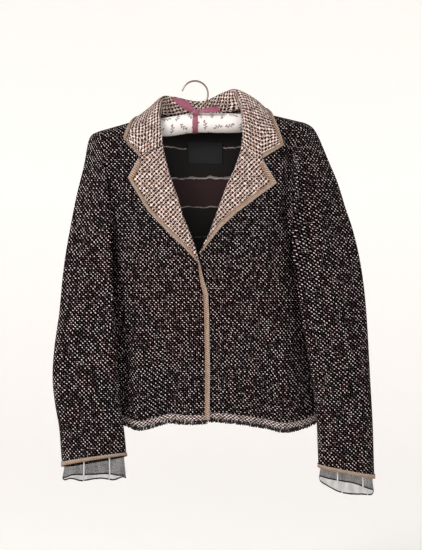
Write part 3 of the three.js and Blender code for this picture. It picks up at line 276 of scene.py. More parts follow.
def neck_share(x):
    """1 in the middle of the neckline, and 0 at its ends and outside it."""
    low, high = SIDES["right"]["neck"][0], SIDES["left"]["neck"][0]
    return bow((2 * x - low - high) / (high - low), NECK_POWER)


def top_z(face, x):
    """Height of the top edge: the shoulder line, with the neckline cut out of the back."""
    (low_x, low_z), (high_x, high_z) = SIDES["right"]["neck"], SIDES["left"]["neck"]
    inside = (x > low_x) & (x < high_x) & (face == "back")
    dipped = lerp(low_z, high_z, (x - low_x) / (high_x - low_x)) - NECK_DIP * neck_share(x)
    return np.where(inside, dipped, shoulder_z(x))


def side_edge(face, side, z):
    """x and y of the armhole above the underarm, and of the side seam below it."""
    s = SIDES[side]
    (foot_x, foot_y, foot_z), (tip_x, tip_y, tip_z) = s["foot"], s["tip"]
    t = np.minimum(1, (z - foot_z) / (tip_z - foot_z))
    share = bow(2 * t - 1, LOOP_POWER)
    forward = -1 if face == "front" else 1
    x = lerp(foot_x, tip_x, t) - s["out"] * s[face]["lean"] * share
    y = lerp(foot_y, tip_y, t) + forward * s[face]["depth"] * share
    low = z <= foot_z
    return np.where(low, read(s["seam"], "z", z, "x"), x), np.where(low, read(s["seam"], "z", z, "y"), y)


def nearest_edge(face, x, z):
    """x and y of the edge that lies on the same side as x."""
    (right_x, right_y), (left_x, left_y) = side_edge(face, "right", z), side_edge(face, "left", z)
    return np.where(x < CENTRE_X, right_x, left_x), np.where(x < CENTRE_X, right_y, left_y)


def body_y(face, x, z):
    """y of the front's or the back's outside before its folds, rounded over the shoulder and at the sides."""
    edge_x, edge_y = nearest_edge(face, x, z)
    across = np.clip((x - CENTRE_X) / (edge_x - CENTRE_X), 0, 1)
    under = np.maximum(0, top_z(face, x) - z)
    down = np.minimum(under, SHOULDER_ROUND) / SHOULDER_ROUND
    round_over = np.where(under >= SHOULDER_ROUND, 1, bow(1 - down, SHOULDER_POWER))
    top_y = NECK_BACK_Y * neck_share(x) if face == "back" else 0
    middle = lerp(top_y, read(DEPTH, "z", z, face), round_over)
    turn_y = round_over * read(DEPTH, "z", z, face + "_turn")
    return lerp(middle, turn_y, 1 - bow(across, FACE_TURN[face])) + (edge_y - turn_y) * across ** EDGE_TURN


def fold_depth(face, x, z):
    """How far the folds and creases stand out at a place."""
    total = np.zeros(np.broadcast(x, z).shape)
    for fx, fz, end_x, end_z, width, depth in zip(*FOLDS[face].values()):
        t = (z - fz) / (end_z - fz)
        off = (x - lerp(fx, end_x, t)) / width
        total += depth * np.exp(-off * off) * ease(t * FOLD_FADE) * ease((FOLD_REACH - t) * FOLD_FADE)
    for cx, cz, slant, length, width, depth in zip(*CREASES[face].values()):
        off = (x - cx - slant * (cz - z)) / width
        total += depth * np.exp(-off * off - ((z - cz) / length * 2) ** 2)
    return total


def face_y(face, x, z):
    """y of the outside with its folds, which die away towards the shoulder and the edges."""
    edge_x, _ = nearest_edge(face, x, z)
    across = np.clip((x - CENTRE_X) / (edge_x - CENTRE_X), 0, 1)
    outward = -1 if face == "front" else 1
    held = (1 - across ** FOLD_EDGE_POWER) * ease((top_z(face, x) - z) / FOLD_TOP_FADE)
    return body_y(face, x, z) + outward * fold_depth(face, x, z) * held


def lapped_y(side, x, z):
    """y of a front's outside, with the valley beside the armhole and the left front's lap."""
    beside = np.abs(side_edge("front", side, z)[0] - x)
    valley = np.exp(-((beside - DIP_FROM_EDGE) / DIP_WIDTH) ** 2)
    dip = ARMHOLE_DIP[side] * valley * (1 - np.exp(-(beside / DIP_START) ** 2))
    above_foot = ease((z - DIP_FOOT_Z) / DIP_FOOT_FADE)
    high = above_foot * ease((top_z("front", x) - z - DIP_TOP_GAP) / DIP_TOP_FADE)
    lapped = FRONT_LAP * (1 - ease((x - LAP_X) / LAP_FADE)) if side == "left" else 0
    return face_y("front", x, z) + dip * high + lapped


LOW_ROWS, ARM_ROWS = 84, 56
FRONT_COLUMNS, BACK_COLUMNS = 72, 128
CROWDING = {"front": 1.5, "back": 1.4}
CROSSING_ROUNDS = 12


def underarm_z(x):
    """Height of the line between the two underarm points."""
    (rx, _, rz), (lx, _, lz) = SIDES["right"]["foot"], SIDES["left"]["foot"]
    return lerp(rz, lz, (x - rx) / (lx - rx))


def armhole_end(face, side, row):
    """Where a row meets an armhole: x, and how far up it is between the underarm line and the top edge."""
    angle = math.pi * (row - LOW_ROWS) / ARM_ROWS
    z = lerp(SIDES[side]["foot"][2], SIDES[side]["tip"][2], (1 - squash(np.cos(angle), LOOP_POWER)) / 2)
    x = float(side_edge(face, side, z)[0])
    return x, float((z - underarm_z(x)) / (top_z(face, x) - underarm_z(x)))


def crossing(edge_x, z_at, x):
    """x at which a row of height z_at(x) meets an edge edge_x(z), found by going to and fro between them."""
    for _ in range(CROSSING_ROUNDS):
        x = float(edge_x(z_at(x)))
    return x


def front_points(side):
    """A front's outside, in rows from the hem to the underarm line and from there to the shoulder."""
    s = SIDES[side]

    def inner_x(z):
        rolled = ease((z - LAPEL_CLOSURE_Z[side] - BEHIND_START) / BEHIND_FADE)
        return read(INNER_EDGE[side], "z", z, "x") + s["out"] * FRONT_BEHIND_ROLL * rolled

    rows = []
    for row in range(LOW_ROWS + ARM_ROWS + 1):
        if row <= LOW_ROWS:
            z_at = lambda x, t=row / LOW_ROWS: lerp(read(HEM[side], "x", x, "z"), underarm_z(x), t)
            end = crossing(lambda z: side_edge("front", side, z)[0], z_at, s["foot"][0])
        else:
            end, share = armhole_end("front", side, row)
            z_at = lambda x, t=share: lerp(underarm_z(x), top_z("front", x), t)
        start = crossing(inner_x, z_at, CENTRE_X)
        x = lerp(start, end, 1 - (1 - np.linspace(0, 1, FRONT_COLUMNS + 1)) ** CROWDING["front"])
        z = z_at(x)
        rows.append(np.stack([x, lapped_y(side, x, z), z], axis=1))
    return np.array(rows)


def back_points():
    """The back's outside, in rows like those of the fronts."""
    rows = []
    for row in range(LOW_ROWS + ARM_ROWS + 1):
        if row <= LOW_ROWS:
            z_at = lambda x, t=row / LOW_ROWS: lerp(read(HEM["back"], "x", x, "z"), underarm_z(x), t)
            ends = [crossing(lambda z, k=k: side_edge("back", k, z)[0], z_at, SIDES[k]["foot"][0])
                    for k in ("right", "left")]
        else:
            right, right_share = armhole_end("back", "right", row)
            left, left_share = armhole_end("back", "left", row)
            ends = [right, left]
            z_at = lambda x: lerp(
                underarm_z(x), top_z("back", x), lerp(right_share, left_share, (x - right) / (left - right)))
        t = np.linspace(-1, 1, BACK_COLUMNS + 1)
        x = lerp(*ends, (1 + np.sign(t) * (1 - (1 - np.abs(t)) ** CROWDING["back"])) / 2)
        z = z_at(x)
        rows.append(np.stack([x, face_y("back", x, z), z], axis=1))
    return np.array(rows)


def grid_normals(points, ring, facing, square):
    """Unit normals of a grid of points. square lists places and the axis that their normals are square to."""
    up = np.empty_like(points)
    up[1:-1], up[0], up[-1] = points[2:] - points[:-2], points[1] - points[0], points[-1] - points[-2]
    if ring:
        along = np.roll(points, -1, axis=1) - np.roll(points, 1, axis=1)
    else:
        along = np.empty_like(points)
        along[:, 1:-1] = points[:, 2:] - points[:, :-2]
        along[:, 0], along[:, -1] = points[:, 1] - points[:, 0], points[:, -1] - points[:, -2]
    normals = np.cross(along, up) * facing
    for place, axis in square:
        normals[place + (axis,)] = 0
    return normals / np.maximum(np.linalg.norm(normals, axis=2, keepdims=True), 1e-9)


def lengths_along(points, axis, axes):
    """Running length along the rows or columns of a grid, counting only the named axes."""
    steps = np.linalg.norm(np.diff(points[..., axes], axis=axis), axis=2)
    start = np.zeros_like(np.take(steps, [0], axis=axis))
    return np.concatenate([start, np.cumsum(steps, axis=axis)], axis=axis)


def panel_uv(points, face, hem, turn):
    """UV of a body panel in millimetres: u along its rows, and v upright from the hem, level above it."""
    x, z = points[..., 0], points[..., 2]
    under = np.linspace(0, SHOULDER_ROUND, 40)
    y = read(DEPTH, "z", np.array(-80.0), face) * bow(1 - under / SHOULDER_ROUND, SHOULDER_POWER)
    over = np.concatenate([[0], np.cumsum(np.hypot(np.diff(y), np.diff(under)) - np.diff(under))])
    turned = over[-1] - np.interp(top_z(face, x) - z, under, over)
    from_hem = lerp(z - read(HEM[hem], "x", x, "z"), z - HEM_Z, ease((z - HEM_Z) / HEM_EVENED))
    return np.stack([x[:, :1] + turn * lengths_along(points, 1, [0, 1]), from_hem + turned], axis=2)


def new_object(name, points, faces, corners, material):
    """A mesh object in metres, smooth, with the UV of each face corner in millimetres."""
    mesh = bpy.data.meshes.new(name)
    mesh.from_pydata((np.asarray(points) * MM).tolist(), [], faces)
    mesh.polygons.foreach_set("use_smooth", [True] * len(faces))
    mesh.uv_layers.new(name="cloth").data.foreach_set("uv", np.asarray(corners, np.float32).ravel())
    mesh.materials.append(material)
    piece = bpy.data.objects.new(name, mesh)
    scene.collection.objects.link(piece)
    return piece


def volume_of(points, faces):
    """Volume inside faces of four corners, below 0 where they point inwards."""
    a, b, c, d = (points[faces[:, k]] for k in range(4))
    return float((a * np.cross(b, c)).sum() + (a * np.cross(c, d)).sum()) / 6


def shell(name, face, under, material, uv, ring=False):
    """A closed wall between two grids of points, the second one's points behind the first's."""
    down, across = face.shape[:2]
    both = np.concatenate([face.reshape(-1, 3), under.reshape(-1, 3)])
    count, cells = down * across, across if ring else across - 1
    blocks = []

    def quads(places, behind):
        ids = [row * across + column % across + count * back for (row, column), back in zip(places, behind)]
        corner_uv = [uv[place] for place in places]
        blocks.append((np.stack(ids, axis=1), np.stack(corner_uv, axis=1)))

    i, j = (a.ravel() for a in np.meshgrid(np.arange(down - 1), np.arange(cells), indexing="ij"))
    cell = [(i, j), (i, j + 1), (i + 1, j + 1), (i + 1, j)]
    quads(cell, (0, 0, 0, 0))
    quads(cell[::-1], (1, 1, 1, 1))
    k = np.arange(cells)
    for edge, (a, b) in ((0, (1, 0)), (down - 1, (0, 1))):
        row = np.full(cells, edge)
        quads([(row, k + a), (row, k + b), (row, k + b), (row, k + a)], (0, 0, 1, 1))
    if not ring:
        k = np.arange(down - 1)
        for edge, (a, b) in ((0, (0, 1)), (across - 1, (1, 0))):
            column = np.full(down - 1, edge)
            quads([(k + a, column), (k + b, column), (k + b, column), (k + a, column)], (0, 0, 1, 1))
    faces, corners = (np.concatenate(part) for part in zip(*blocks))
    if volume_of(both, faces) < 0:
        faces, corners = faces[:, ::-1], corners[:, ::-1]
    return new_object(name, both, faces.tolist(), corners.reshape(-1, 2), material)


def wall(name, points, thick, material, uv, ring=False, facing=1, lift=0.0, square=()):
    """A closed wall whose visible face is the grid of points moved out by lift, with one more behind."""
    normals = grid_normals(points, ring, facing, square)
    return shell(name, points + normals * lift, points + normals * (lift - thick), material, uv, ring)


class Sum:
    """A shader socket that takes part in Python arithmetic: each operation adds its Math node."""

    def __init__(self, tree, socket):
        self.tree, self.socket = tree, socket

    def node(self, kind, settings, *values, out=0):
        """Any node, with its settings and its inputs' values or links in order. None leaves one alone."""
        made = self.tree.nodes.new(kind)
        for key, value in settings.items():
            setattr(made, key, value)
        sockets = [s for s in made.inputs if s.enabled]
        for socket, value in zip(sockets, values):
            if isinstance(value, Sum):
                self.tree.links.new(value.socket, socket)
            elif value is not None:
                socket.default_value = value
        return Sum(self.tree, [s for s in made.outputs if s.enabled][out])

    def math(self, operation, *values):
        return self.node("ShaderNodeMath", {"operation": operation}, *values)

    def __add__(self, other):
        return self.math("ADD", self, other)

    def __sub__(self, other):
        return self.math("SUBTRACT", self, other)

    def __rsub__(self, other):
        return self.math("SUBTRACT", other, self)

    def __mul__(self, other):
        return self.math("MULTIPLY", self, other)

    def __truediv__(self, other):
        return self.math("DIVIDE", self, other)

    __radd__, __rmul__ = __add__, __mul__

    def floor(self):
        return self.math("FLOOR", self)

    def fract(self):
        return self.math("FRACT", self)

    def abs(self):
        return self.math("ABSOLUTE", self)

    def sine(self):
        return self.math("SINE", self)

    def most(self, other):
        return self.math("MAXIMUM", self, other)

    def least(self, other):
        return self.math("MINIMUM", self, other)

    def fade(self, low, high, to_low=0.0, to_high=1.0):
        """Runs smoothly from to_low at low to to_high at high, and stays there."""
        return self.node(
            "ShaderNodeMapRange", {"interpolation_type": "SMOOTHSTEP"}, self, low, high, to_low, to_high)

    def blend(self, first, second):
        """Mixes two colours by this factor."""
        return self.node("ShaderNodeMix", {"data_type": "RGBA"}, self, first, second)


def color(red, green, blue):
    """A colour given in the 0 to 255 of a screen, as the linear light that a shader takes."""
    shares = [c / 255 for c in (red, green, blue)]
    light = [((c + 0.055) / 1.055) ** 2.4 if c > 10 / 255 else c / 12.92 for c in shares]
    return (*light, 1.0)


def new_material(name, roughness, sheen=0.0, metallic=0.0):
    """A material with its numbers set on the shader, and the start of its arithmetic."""
    material = bpy.data.materials.new(name)
    material.use_nodes = True
    shader = material.node_tree.nodes["Principled BSDF"]
    shader.inputs["Roughness"].default_value = roughness
    shader.inputs["Metallic"].default_value = metallic
    shader.inputs["Sheen Weight"].default_value = sheen
    shader.inputs["Sheen Roughness"].default_value = 0.6
    shader.inputs["Specular IOR Level"].default_value = 0.12
    return material, shader, Sum(material.node_tree, None)


def plug(shader, name, value):
    """Links a value that changes over the surface to an input of the shader."""
    value.tree.links.new(value.socket, shader.inputs[name])


def bumped(shader, start, height, distance):
    """Sets the shader's normal from a height, where a height of 1 stands distance millimetres out."""
    plug(shader, "Normal", start.node("ShaderNodeBump", {}, 1.0, distance * MM, None, height))


def uv_axes(start):
    """The two coordinates of the cloth's UV, in millimetres."""
    uv = start.node("ShaderNodeUVMap", {"uv_map": "cloth"})
    return start.node("ShaderNodeSeparateXYZ", {}, uv), start.node("ShaderNodeSeparateXYZ", {}, uv, out=1)


def noise(start, u, v, size, detail=2.0, seed=0.0):
    """Soft noise from about 0 to 1, with lumps about size millimetres across."""
    place = start.node("ShaderNodeCombineXYZ", {}, u / size, v / size, seed)
    return start.node("ShaderNodeTexNoise", {}, place, 1.0, detail, 0.5)


def per_cell(start, column, row, seed):
    """One random number for each cell of a pattern."""
    place = start.node("ShaderNodeCombineXYZ", {}, column, row, seed)
    return start.node("ShaderNodeTexWhiteNoise", {"noise_dimensions": "3D"}, place)


FLECK_STEP, FLECK_ROW = 7.3, 3.65
FLECK_NUDGE, FLECK_TURN = 1.1, 0.9


def flecks(start, u, v, slant, seed, long, wide):
    """Slanting ovals in staggered rows, one over each second crossing of the yarns: cover and own number."""
    row = (v / FLECK_ROW).floor()
    shifted = u / FLECK_STEP + row * 0.5
    cell = shifted.floor()
    own, nudge, turn = (per_cell(start, cell, row, seed + k) for k in (0.0, 7.0, 13.0))
    x = (shifted.fract() - 0.5) * FLECK_STEP + (nudge - 0.5) * FLECK_NUDGE
    y = ((v / FLECK_ROW).fract() - 0.5) * FLECK_ROW
    cos, sin = math.cos(math.radians(slant)), math.sin(math.radians(slant))
    along, beside = x * cos + y * sin, y * cos - x * sin
    beside = beside + along * (turn - 0.5) * FLECK_TURN
    reach = along * along * (4 / long ** 2) + beside * beside * (4 / wide ** 2)
    return reach.fade(1.25, 0.5), own


def tweed_material():
    material, shader, start = new_material("basket_tweed", 0.95)
    flat_u, flat_v = uv_axes(start)

    def strayed(flat, size, seed, small_seed):
        broad = (noise(start, flat_u, flat_v, size, seed=seed) - 0.5) * 3
        return flat + broad + (noise(start, flat_u, flat_v, 8, seed=small_seed) - 0.5) * 2

    u, v = strayed(flat_u, 30, 3.0, 4.0), strayed(flat_v, 34, 9.0, 5.0)
    fleck, own = flecks(start, u, v, -42, 1.0, long=3.0, wide=1.7)
    knot, knot_own = flecks(start, u + FLECK_STEP / 2, v, 40, 5.0, long=3.6, wide=1.9)
    yarn = noise(start, u, v, 0.9, 2.0, seed=2.0)
    bright = own.fade(0.1, 0.95, 0.1, 0.95) * yarn.fade(0.2, 0.7, 0.7, 1.0)
    ground = (knot * (yarn * 0.6 + 0.4)).blend(color(4, 2, 3), color(36, 16, 18))
    slub = knot * knot_own.fade(0.9, 0.97) * 0.35
    body = (fleck * bright).blend(slub.blend(ground, color(178, 152, 150)), color(255, 241, 238))
    dash, dash_own = flecks(start, flat_u, flat_v * 1.35, 4, 21.0, long=4.6, wide=2.3)
    band = (flat_v + yarn * 3).fade(12.5, 10.0) * flat_v.fade(-1.0, 0.5)
    hemmed = (dash * dash_own.fade(0.0, 0.5, 0.55, 1.0)).blend(color(62, 46, 46), color(255, 238, 234))
    shader.inputs["Specular IOR Level"].default_value = 0.02
    plug(shader, "Base Color", band.blend(body, hemmed))
    bumped(shader, start, fleck * 0.8 + knot * 0.6 + yarn * 0.35, 1.0)
    return material


TWEED = tweed_material()


def sew(piece, node):
    """Puts a sheet of cloth on the one body and hides the solid of the part it stands for."""
    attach(piece, "root")
    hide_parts(node)


SEAM_SQUARE = [((-1, slice(None)), 0), ((-1, slice(None)), 2)]
low_side, arm_side = slice(0, LOW_ROWS + 1), slice(LOW_ROWS + 1, LOW_ROWS + ARM_ROWS)


def seams(column):
    """A panel's edges are square to the seam: flat at the side and the shoulder, upright at the armhole."""
    return [((low_side, column), 0), ((low_side, column), 2), ((arm_side, column), 0)] + SEAM_SQUARE


for side, flat, area in (("right", (0.245, 0.575), 0.105), ("left", (0.262, 0.59), 0.112)):
    points = front_points(side)
    out = SIDES[side]["out"]
    uv = panel_uv(points, "front", side, out)
    panel = wall(f"front_{side}_cloth", points, CLOTH, TWEED, uv, facing=out, square=seams(-1))
    sew(panel, "front_" + side)

points = back_points()
uv = panel_uv(points, "back", "back", 1)
panel = wall("back_cloth", points, CLOTH, TWEED, uv, facing=-1, square=seams(0) + seams(-1))
sew(panel, "back")


# ---------------------------------------------------------------- Sleeves
# Tweed tubes with a head set into each armhole, hanging down beside the body and leaning forward over its
# sides. Soft troughs run along them where an arm would bend them.
SLEEVE_END, SLEEVE_HALF = 14, 52
SLEEVE_ROWS, SLEEVE_COLUMNS = 160, 128
# Sections of a sleeve from the armhole to the cuff: its outer and inner end, how far its front and back stand
# out from the line between them, how far the front leans in over the body, and how far it rises.
SLEEVES = {
    "right": table(
        "out_x out_y out_z in_x in_y in_z front back lean rise",
        (-178, 0, -91.8, -166, 8, -303, 36, 32, 14, 0), (-191, 0, -98, -170, 5, -312, 36, 33, 22, 0),
        (-198, -1, -114, -177, 3, -322, 39, 32, 32, 0), (-205, -4, -155, -184, 0, -336, 41, 31, 40, 0),
        (-218, -8, -210, -188, -5, -353, 41, 30, 49, 0),
        (-228, -12, -264, -188, -12, -374, 39, 29, 54, 0),
        (-236, -17, -312, -183, -21, -398, 36, 28, 53, 0),
        (-242, -22, -362, -172, -31, -426, 33, 27, 46, 0),
        (-247, -28, -424, -156, -41, -460, 29, 26, 33, 0),
        (-255, -33, -486, -143, -47, -502, 27, 25, 16, 0),
        (-258, -37, -540, -137.5, -49, -548, 27, 25, 2, 0),
        (-253, -39, -590, -133, -50, -592, 26, 24, 0, 0),
        (-245.5, -40, -632, -128, -50, -630, 26, 23, 0, 2),
        (-242.5, -40, -670, -124.5, -50, -660, 25, 22, 0, 4),
        (-240, -40, -704, -123, -50, -683, 24, 21, 0, 6),
    ),
    "left": table(
        "out_x out_y out_z in_x in_y in_z front back lean rise",
        (204, 0, -76.3, 190, 8, -295, 36, 32, 15, 0), (217, 0, -84, 194, 5, -304, 36, 33, 22, 0),
        (228.5, 0, -102, 201, 3, -315, 40, 32, 33, 0), (247, -3, -147, 208, 0, -330, 42, 31, 44, 0),
        (263.5, -5, -187, 213, -3, -347, 42, 30, 52, 0), (277, -8, -232, 216, -7, -367, 40, 29, 54, 0),
        (291, -11, -276, 218, -11, -390, 37, 28, 54, 0), (303, -15, -330, 217, -16, -418, 34, 27, 50, 0),
        (310.5, -18, -384, 213, -22, -450, 31, 26, 39, 0), (315, -21, -440, 210, -27, -488, 29, 25, 24, 0),
        (318.5, -25, -510, 212, -31, -535, 28, 24, 10, 0), (321.5, -28, -575, 218, -32, -583, 27, 23, 2, 0),
        (324, -30, -630, 222, -32, -628, 26, 22, 0, 0), (325.5, -30, -682, 223.5, -32, -668, 25, 21, 0, 0),
        (327, -30, -727, 225, -32, -706, 24, 20, 0, 1),
    ),
}
# Troughs and ridges: turn is the angle from the outer end towards the front, row the section each is
# deepest at.
SLEEVE_FOLDS = {
    "right": table(
        "turn row spread reach depth slant",
        (70, 9, 26, 2.6, -6, 0), (115, 8.5, 24, 3, 3, 0), (150, 7, 22, 1.6, -4, 0),
        (250, 8.5, 26, 2.2, -5, 0), (290, 11, 24, 1.6, -3, 0), (96, 5, 14, 1.5, 2.2, 6),
        (60, 4.2, 12, 1.2, -1.8, -5), (84, 7.6, 11, 1.1, -2, 12), (128, 10.4, 12, 0.9, -1.6, 14),
        (98, 11.6, 14, 1.1, 1.8, -8), (52, 12.2, 12, 1, -1.6, 5), (262, 4.6, 14, 1.4, 2, -6),
        (228, 7, 12, 1, -1.8, 12), (300, 7.6, 13, 1.2, 1.8, -8), (244, 11.4, 13, 1.1, 1.6, 8),
    ),
    "left": table(
        "turn row spread reach depth slant",
        (108, 8.5, 24, 2.4, -4, 0), (62, 7.5, 26, 2.4, 3, 0), (75, 11, 22, 1.8, -3, 0),
        (245, 8.5, 26, 2.2, -5, 0), (285, 11, 24, 1.6, -3, 0), (92, 4.6, 14, 1.4, 2, -6),
        (64, 5.4, 12, 1.2, -1.8, 6), (96, 7.4, 11, 1, -2.2, 14), (122, 10, 12, 1, 1.7, -12),
        (58, 10, 11, 0.9, -1.7, 10), (104, 12, 13, 1, -1.5, 6), (256, 5, 14, 1.4, 2, 6),
        (286, 7, 12, 1, -1.8, -12), (226, 9.6, 13, 1.2, 1.7, 8), (262, 11.8, 13, 1.1, -1.6, 8),
    ),
}
SLEEVE_UP = {"right": (0.02, 0, 1), "left": (-0.085, 0, 1)}


def read_row(rows, at, column):
    """A column of a table at fractional row numbers."""
    values, last = rows[column], len(rows[column]) - 1
    i = np.minimum(np.floor(at).astype(int), last - 1)
    return spline(*(values[np.clip(i + k, 0, last)] for k in (-1, 0, 1, 2)), at - i)


def sleeve_points(side, row, angle, inward=0.0):
    """The sleeve's face at rows of its table, from the armhole, and angles from its outer end forward."""
    row, angle = np.broadcast_arrays(np.asarray(row, float), np.asarray(angle, float))
    get = {column: read_row(SLEEVES[side], row, column) for column in SLEEVES[side]}
    c, s = squash(np.cos(angle), LOOP_POWER), squash(np.sin(angle), LOOP_POWER)
    folds = np.zeros(row.shape)
    for turn, deepest, spread, reach, depth, slant in zip(*SLEEVE_FOLDS[side].values()):
        off = (np.degrees(angle) - turn - slant * (row - deepest) + 540) % 360 - 180
        folds += depth * np.exp(-(off / spread) ** 2 - ((row - deepest) / reach) ** 2)
    half = (1 + c * (1 - inward / SLEEVE_HALF)) / 2
    deep = np.maximum(0, np.where(s > 0, get["front"], get["back"]) - inward + folds)
    back_lean = SIDES[side]["back"]["lean"] * np.clip(1 - row / 2, 0, 1)
    lean = np.where(s > 0, s * get["lean"], -s * back_lean)
    return np.stack([
        lerp(get["in_x"], get["out_x"], half) - SIDES[side]["out"] * lean,
        lerp(get["in_y"], get["out_y"], half) - s * deep,
        lerp(get["in_z"], get["out_z"], half) + s * get["rise"],
    ], axis=-1)


def turns(count):
    """Angles once round a sleeve: from the inner end, where the seam is, by the back and the outer end."""
    return np.linspace(math.pi, 3 * math.pi, count, endpoint=False)


LEAST_HOLD, LEAST_STEP = 0.002, 0.05
EASINGS = 500


def spread_steps(total, steps, direction, sign=-1):
    """Adds each step of a grid to the point it leads to, and with the sign to the point it comes from."""
    start, end = ((slice(None, -1), slice(1, None)) if direction == 0
                  else ((slice(None), slice(None, -1)), (slice(None), slice(1, None))))
    total[start] += sign * steps
    total[end] += steps


def tube_uv(points, up, turn):
    """UV of a tube in millimetres: v up its axis, and u round it from the seam.

    Wherever the cloth is upright, u should grow by one millimetre for each level one. The u that comes
    closest to this at all points together is found by conjugate gradients, so that any stretch is spread."""
    closed = np.concatenate([points, points[:, :1]], axis=1)
    axis = np.array(up) / np.linalg.norm(up)
    normal = np.cross(np.gradient(closed, axis=0), np.gradient(closed, axis=1))
    level = np.cross(axis, normal / np.linalg.norm(normal, axis=2)[..., None])
    weights, pull = [], np.zeros(closed.shape[:2])
    for direction in (0, 1):
        step = np.diff(closed, axis=direction)
        heading = (np.delete(level, 0, direction) + np.delete(level, -1, direction)) / 2
        upright = np.linalg.norm(heading, axis=2)
        spacing = np.mean(np.linalg.norm(np.diff(closed, axis=1 - direction), axis=2))
        weight = (upright ** 2 + LEAST_HOLD) * spacing / np.maximum(np.linalg.norm(step, axis=2), LEAST_STEP)
        weights.append(weight)
        spread_steps(pull, weight * np.sum(step * heading, axis=2) / np.maximum(upright, 1e-6), direction)
    hold = np.zeros(pull.shape)
    for direction, weight in enumerate(weights):
        spread_steps(hold, weight, direction, 1)
    u, move = np.zeros(pull.shape), pull / hold
    size = np.sum(pull * move)
    for _ in range(EASINGS):
        answer = np.zeros(pull.shape)
        for direction, weight in enumerate(weights):
            spread_steps(answer, weight * np.diff(move, axis=direction), direction)
        length = size / np.sum(move * answer)
        u += length * move
        pull -= length * answer
        before, size = size, np.sum(pull ** 2 / hold)
        move = pull / hold + move * size / before
    u *= np.sign(np.sum(u[:, -1] - u[:, 0]))
    return np.stack([turn * (u - np.mean(u[:, -1])), closed @ axis], axis=2)


for side, flat, area in (("right", (0.28, 0.62), 0.137), ("left", (0.295, 0.66), 0.155)):
    rows = np.linspace(0, SLEEVE_END, SLEEVE_ROWS + 1)
    points = sleeve_points(side, rows[:, None], turns(SLEEVE_COLUMNS)[None])
    uv = tube_uv(points, SLEEVE_UP[side], -SIDES[side]["out"])
    tube = wall(f"sleeve_{side}_cloth", points, CLOTH, TWEED, uv, ring=True, facing=SIDES[side]["out"],
                square=[((0, slice(None)), 0)])
    sew(tube, "sleeve_" + side)


# ---------------------------------------------------------------- Braid on the cuffs
# A flat knitted braid, grey along one edge and tan along the other, is sewn round the end of each sleeve.
# Its ribs run along it.
BRAID = 1.2
LAYER_GAP = 0.5
CUFF_BRAID_WIDTH = 11.0
RIBS = 7.0


def braid_material():
    material, shader, start = new_material("tan_braid", 0.9, sheen=0.04)
    across, along = uv_axes(start)
    fuzz = noise(start, across, along, 1.3, 3.0, seed=6.0)
    rib = ((across + (fuzz - 0.5) * 0.3) * (math.pi / 1.75)).sine().abs()
    twill = ((along + across * 0.9 + fuzz * 1.2) * (2 * math.pi / 3.9)).sine() * 0.5 + 0.5
    soft = noise(start, across, along, 9, 2.0, seed=9.0)
    tone = (fuzz * 0.45 + twill * 0.3 + rib * 0.25).fade(0.3, 0.85)
    tan = tone.blend(color(82, 58, 44), color(206, 168, 138))
    grey = tone.blend(color(90, 72, 62), color(220, 198, 182))
    split = (across - 3.9 + (soft - 0.5) * 6).fade(-1.2, 1.2)
    plug(shader, "Base Color", split.blend(grey, tan))
    bumped(shader, start, rib * 0.8 + twill * 0.5 + fuzz * 0.5, 0.8)
    return material


TAN_BRAID = braid_material()


def strip_uv(points, swap=False):
    """UV of a strip: u from 0 to RIBS over its width, whatever that is, and v along it in millimetres."""
    axis = 0 if swap else 1
    share = np.linspace(0, RIBS, points.shape[axis])
    run = lengths_along(points, 1 - axis, [0, 1, 2])
    return np.stack(np.broadcast_arrays(share[:, None] if swap else share[None], run), axis=2)


for side in ("right", "left"):
    length = SLEEVES[side]["out_z"][-2] - SLEEVES[side]["out_z"][-1]
    rows = SLEEVE_END - CUFF_BRAID_WIDTH / length * (1 - np.linspace(0, 1, 9))
    points = sleeve_points(side, rows[:, None], turns(SLEEVE_COLUMNS)[None])
    uv = strip_uv(np.concatenate([points, points[:, :1]], axis=1), swap=True)
    trim = wall(f"trim_cuff_{side}_braid", points, BRAID, TAN_BRAID, uv, ring=True, facing=SIDES[side]["out"],
                lift=LAYER_GAP + BRAID)
    sew(trim, "trim_cuff_" + side)


# ---------------------------------------------------------------- Cuff frills
# A band of black organza is gathered and sewn inside each cuff, and shows below it. The cloth is sheer, has
# a narrow rolled hem, and a satin stripe is woven into it every few centimetres.
ORGANZA = 0.3
STRIPE_STEP = 47.0
FRILL_INSET, FRILL_START = CLOTH + 1.2, 13.5
FRILL_ROWS, FRILL_COLUMNS = 40, 192
HIDDEN = 0.4
# Heights of a frill's hem at its outer and inner end, how much higher it is in front and lower behind, how
# far it flares, its waves round the hem, and the place of its first stripe.
FRILLS = {
    "right": {"out_z": -727, "in_z": -722, "front_rise": 11, "back_drop": 7, "grow": 3,
              "waves": 7, "wave": 3.4, "phase": 40, "stripe": 12},
    "left": {"out_z": -752, "in_z": -725, "front_rise": 7.5, "back_drop": 19, "grow": 2,
             "waves": 5, "wave": 2.4, "phase": 0, "stripe": 30},
}


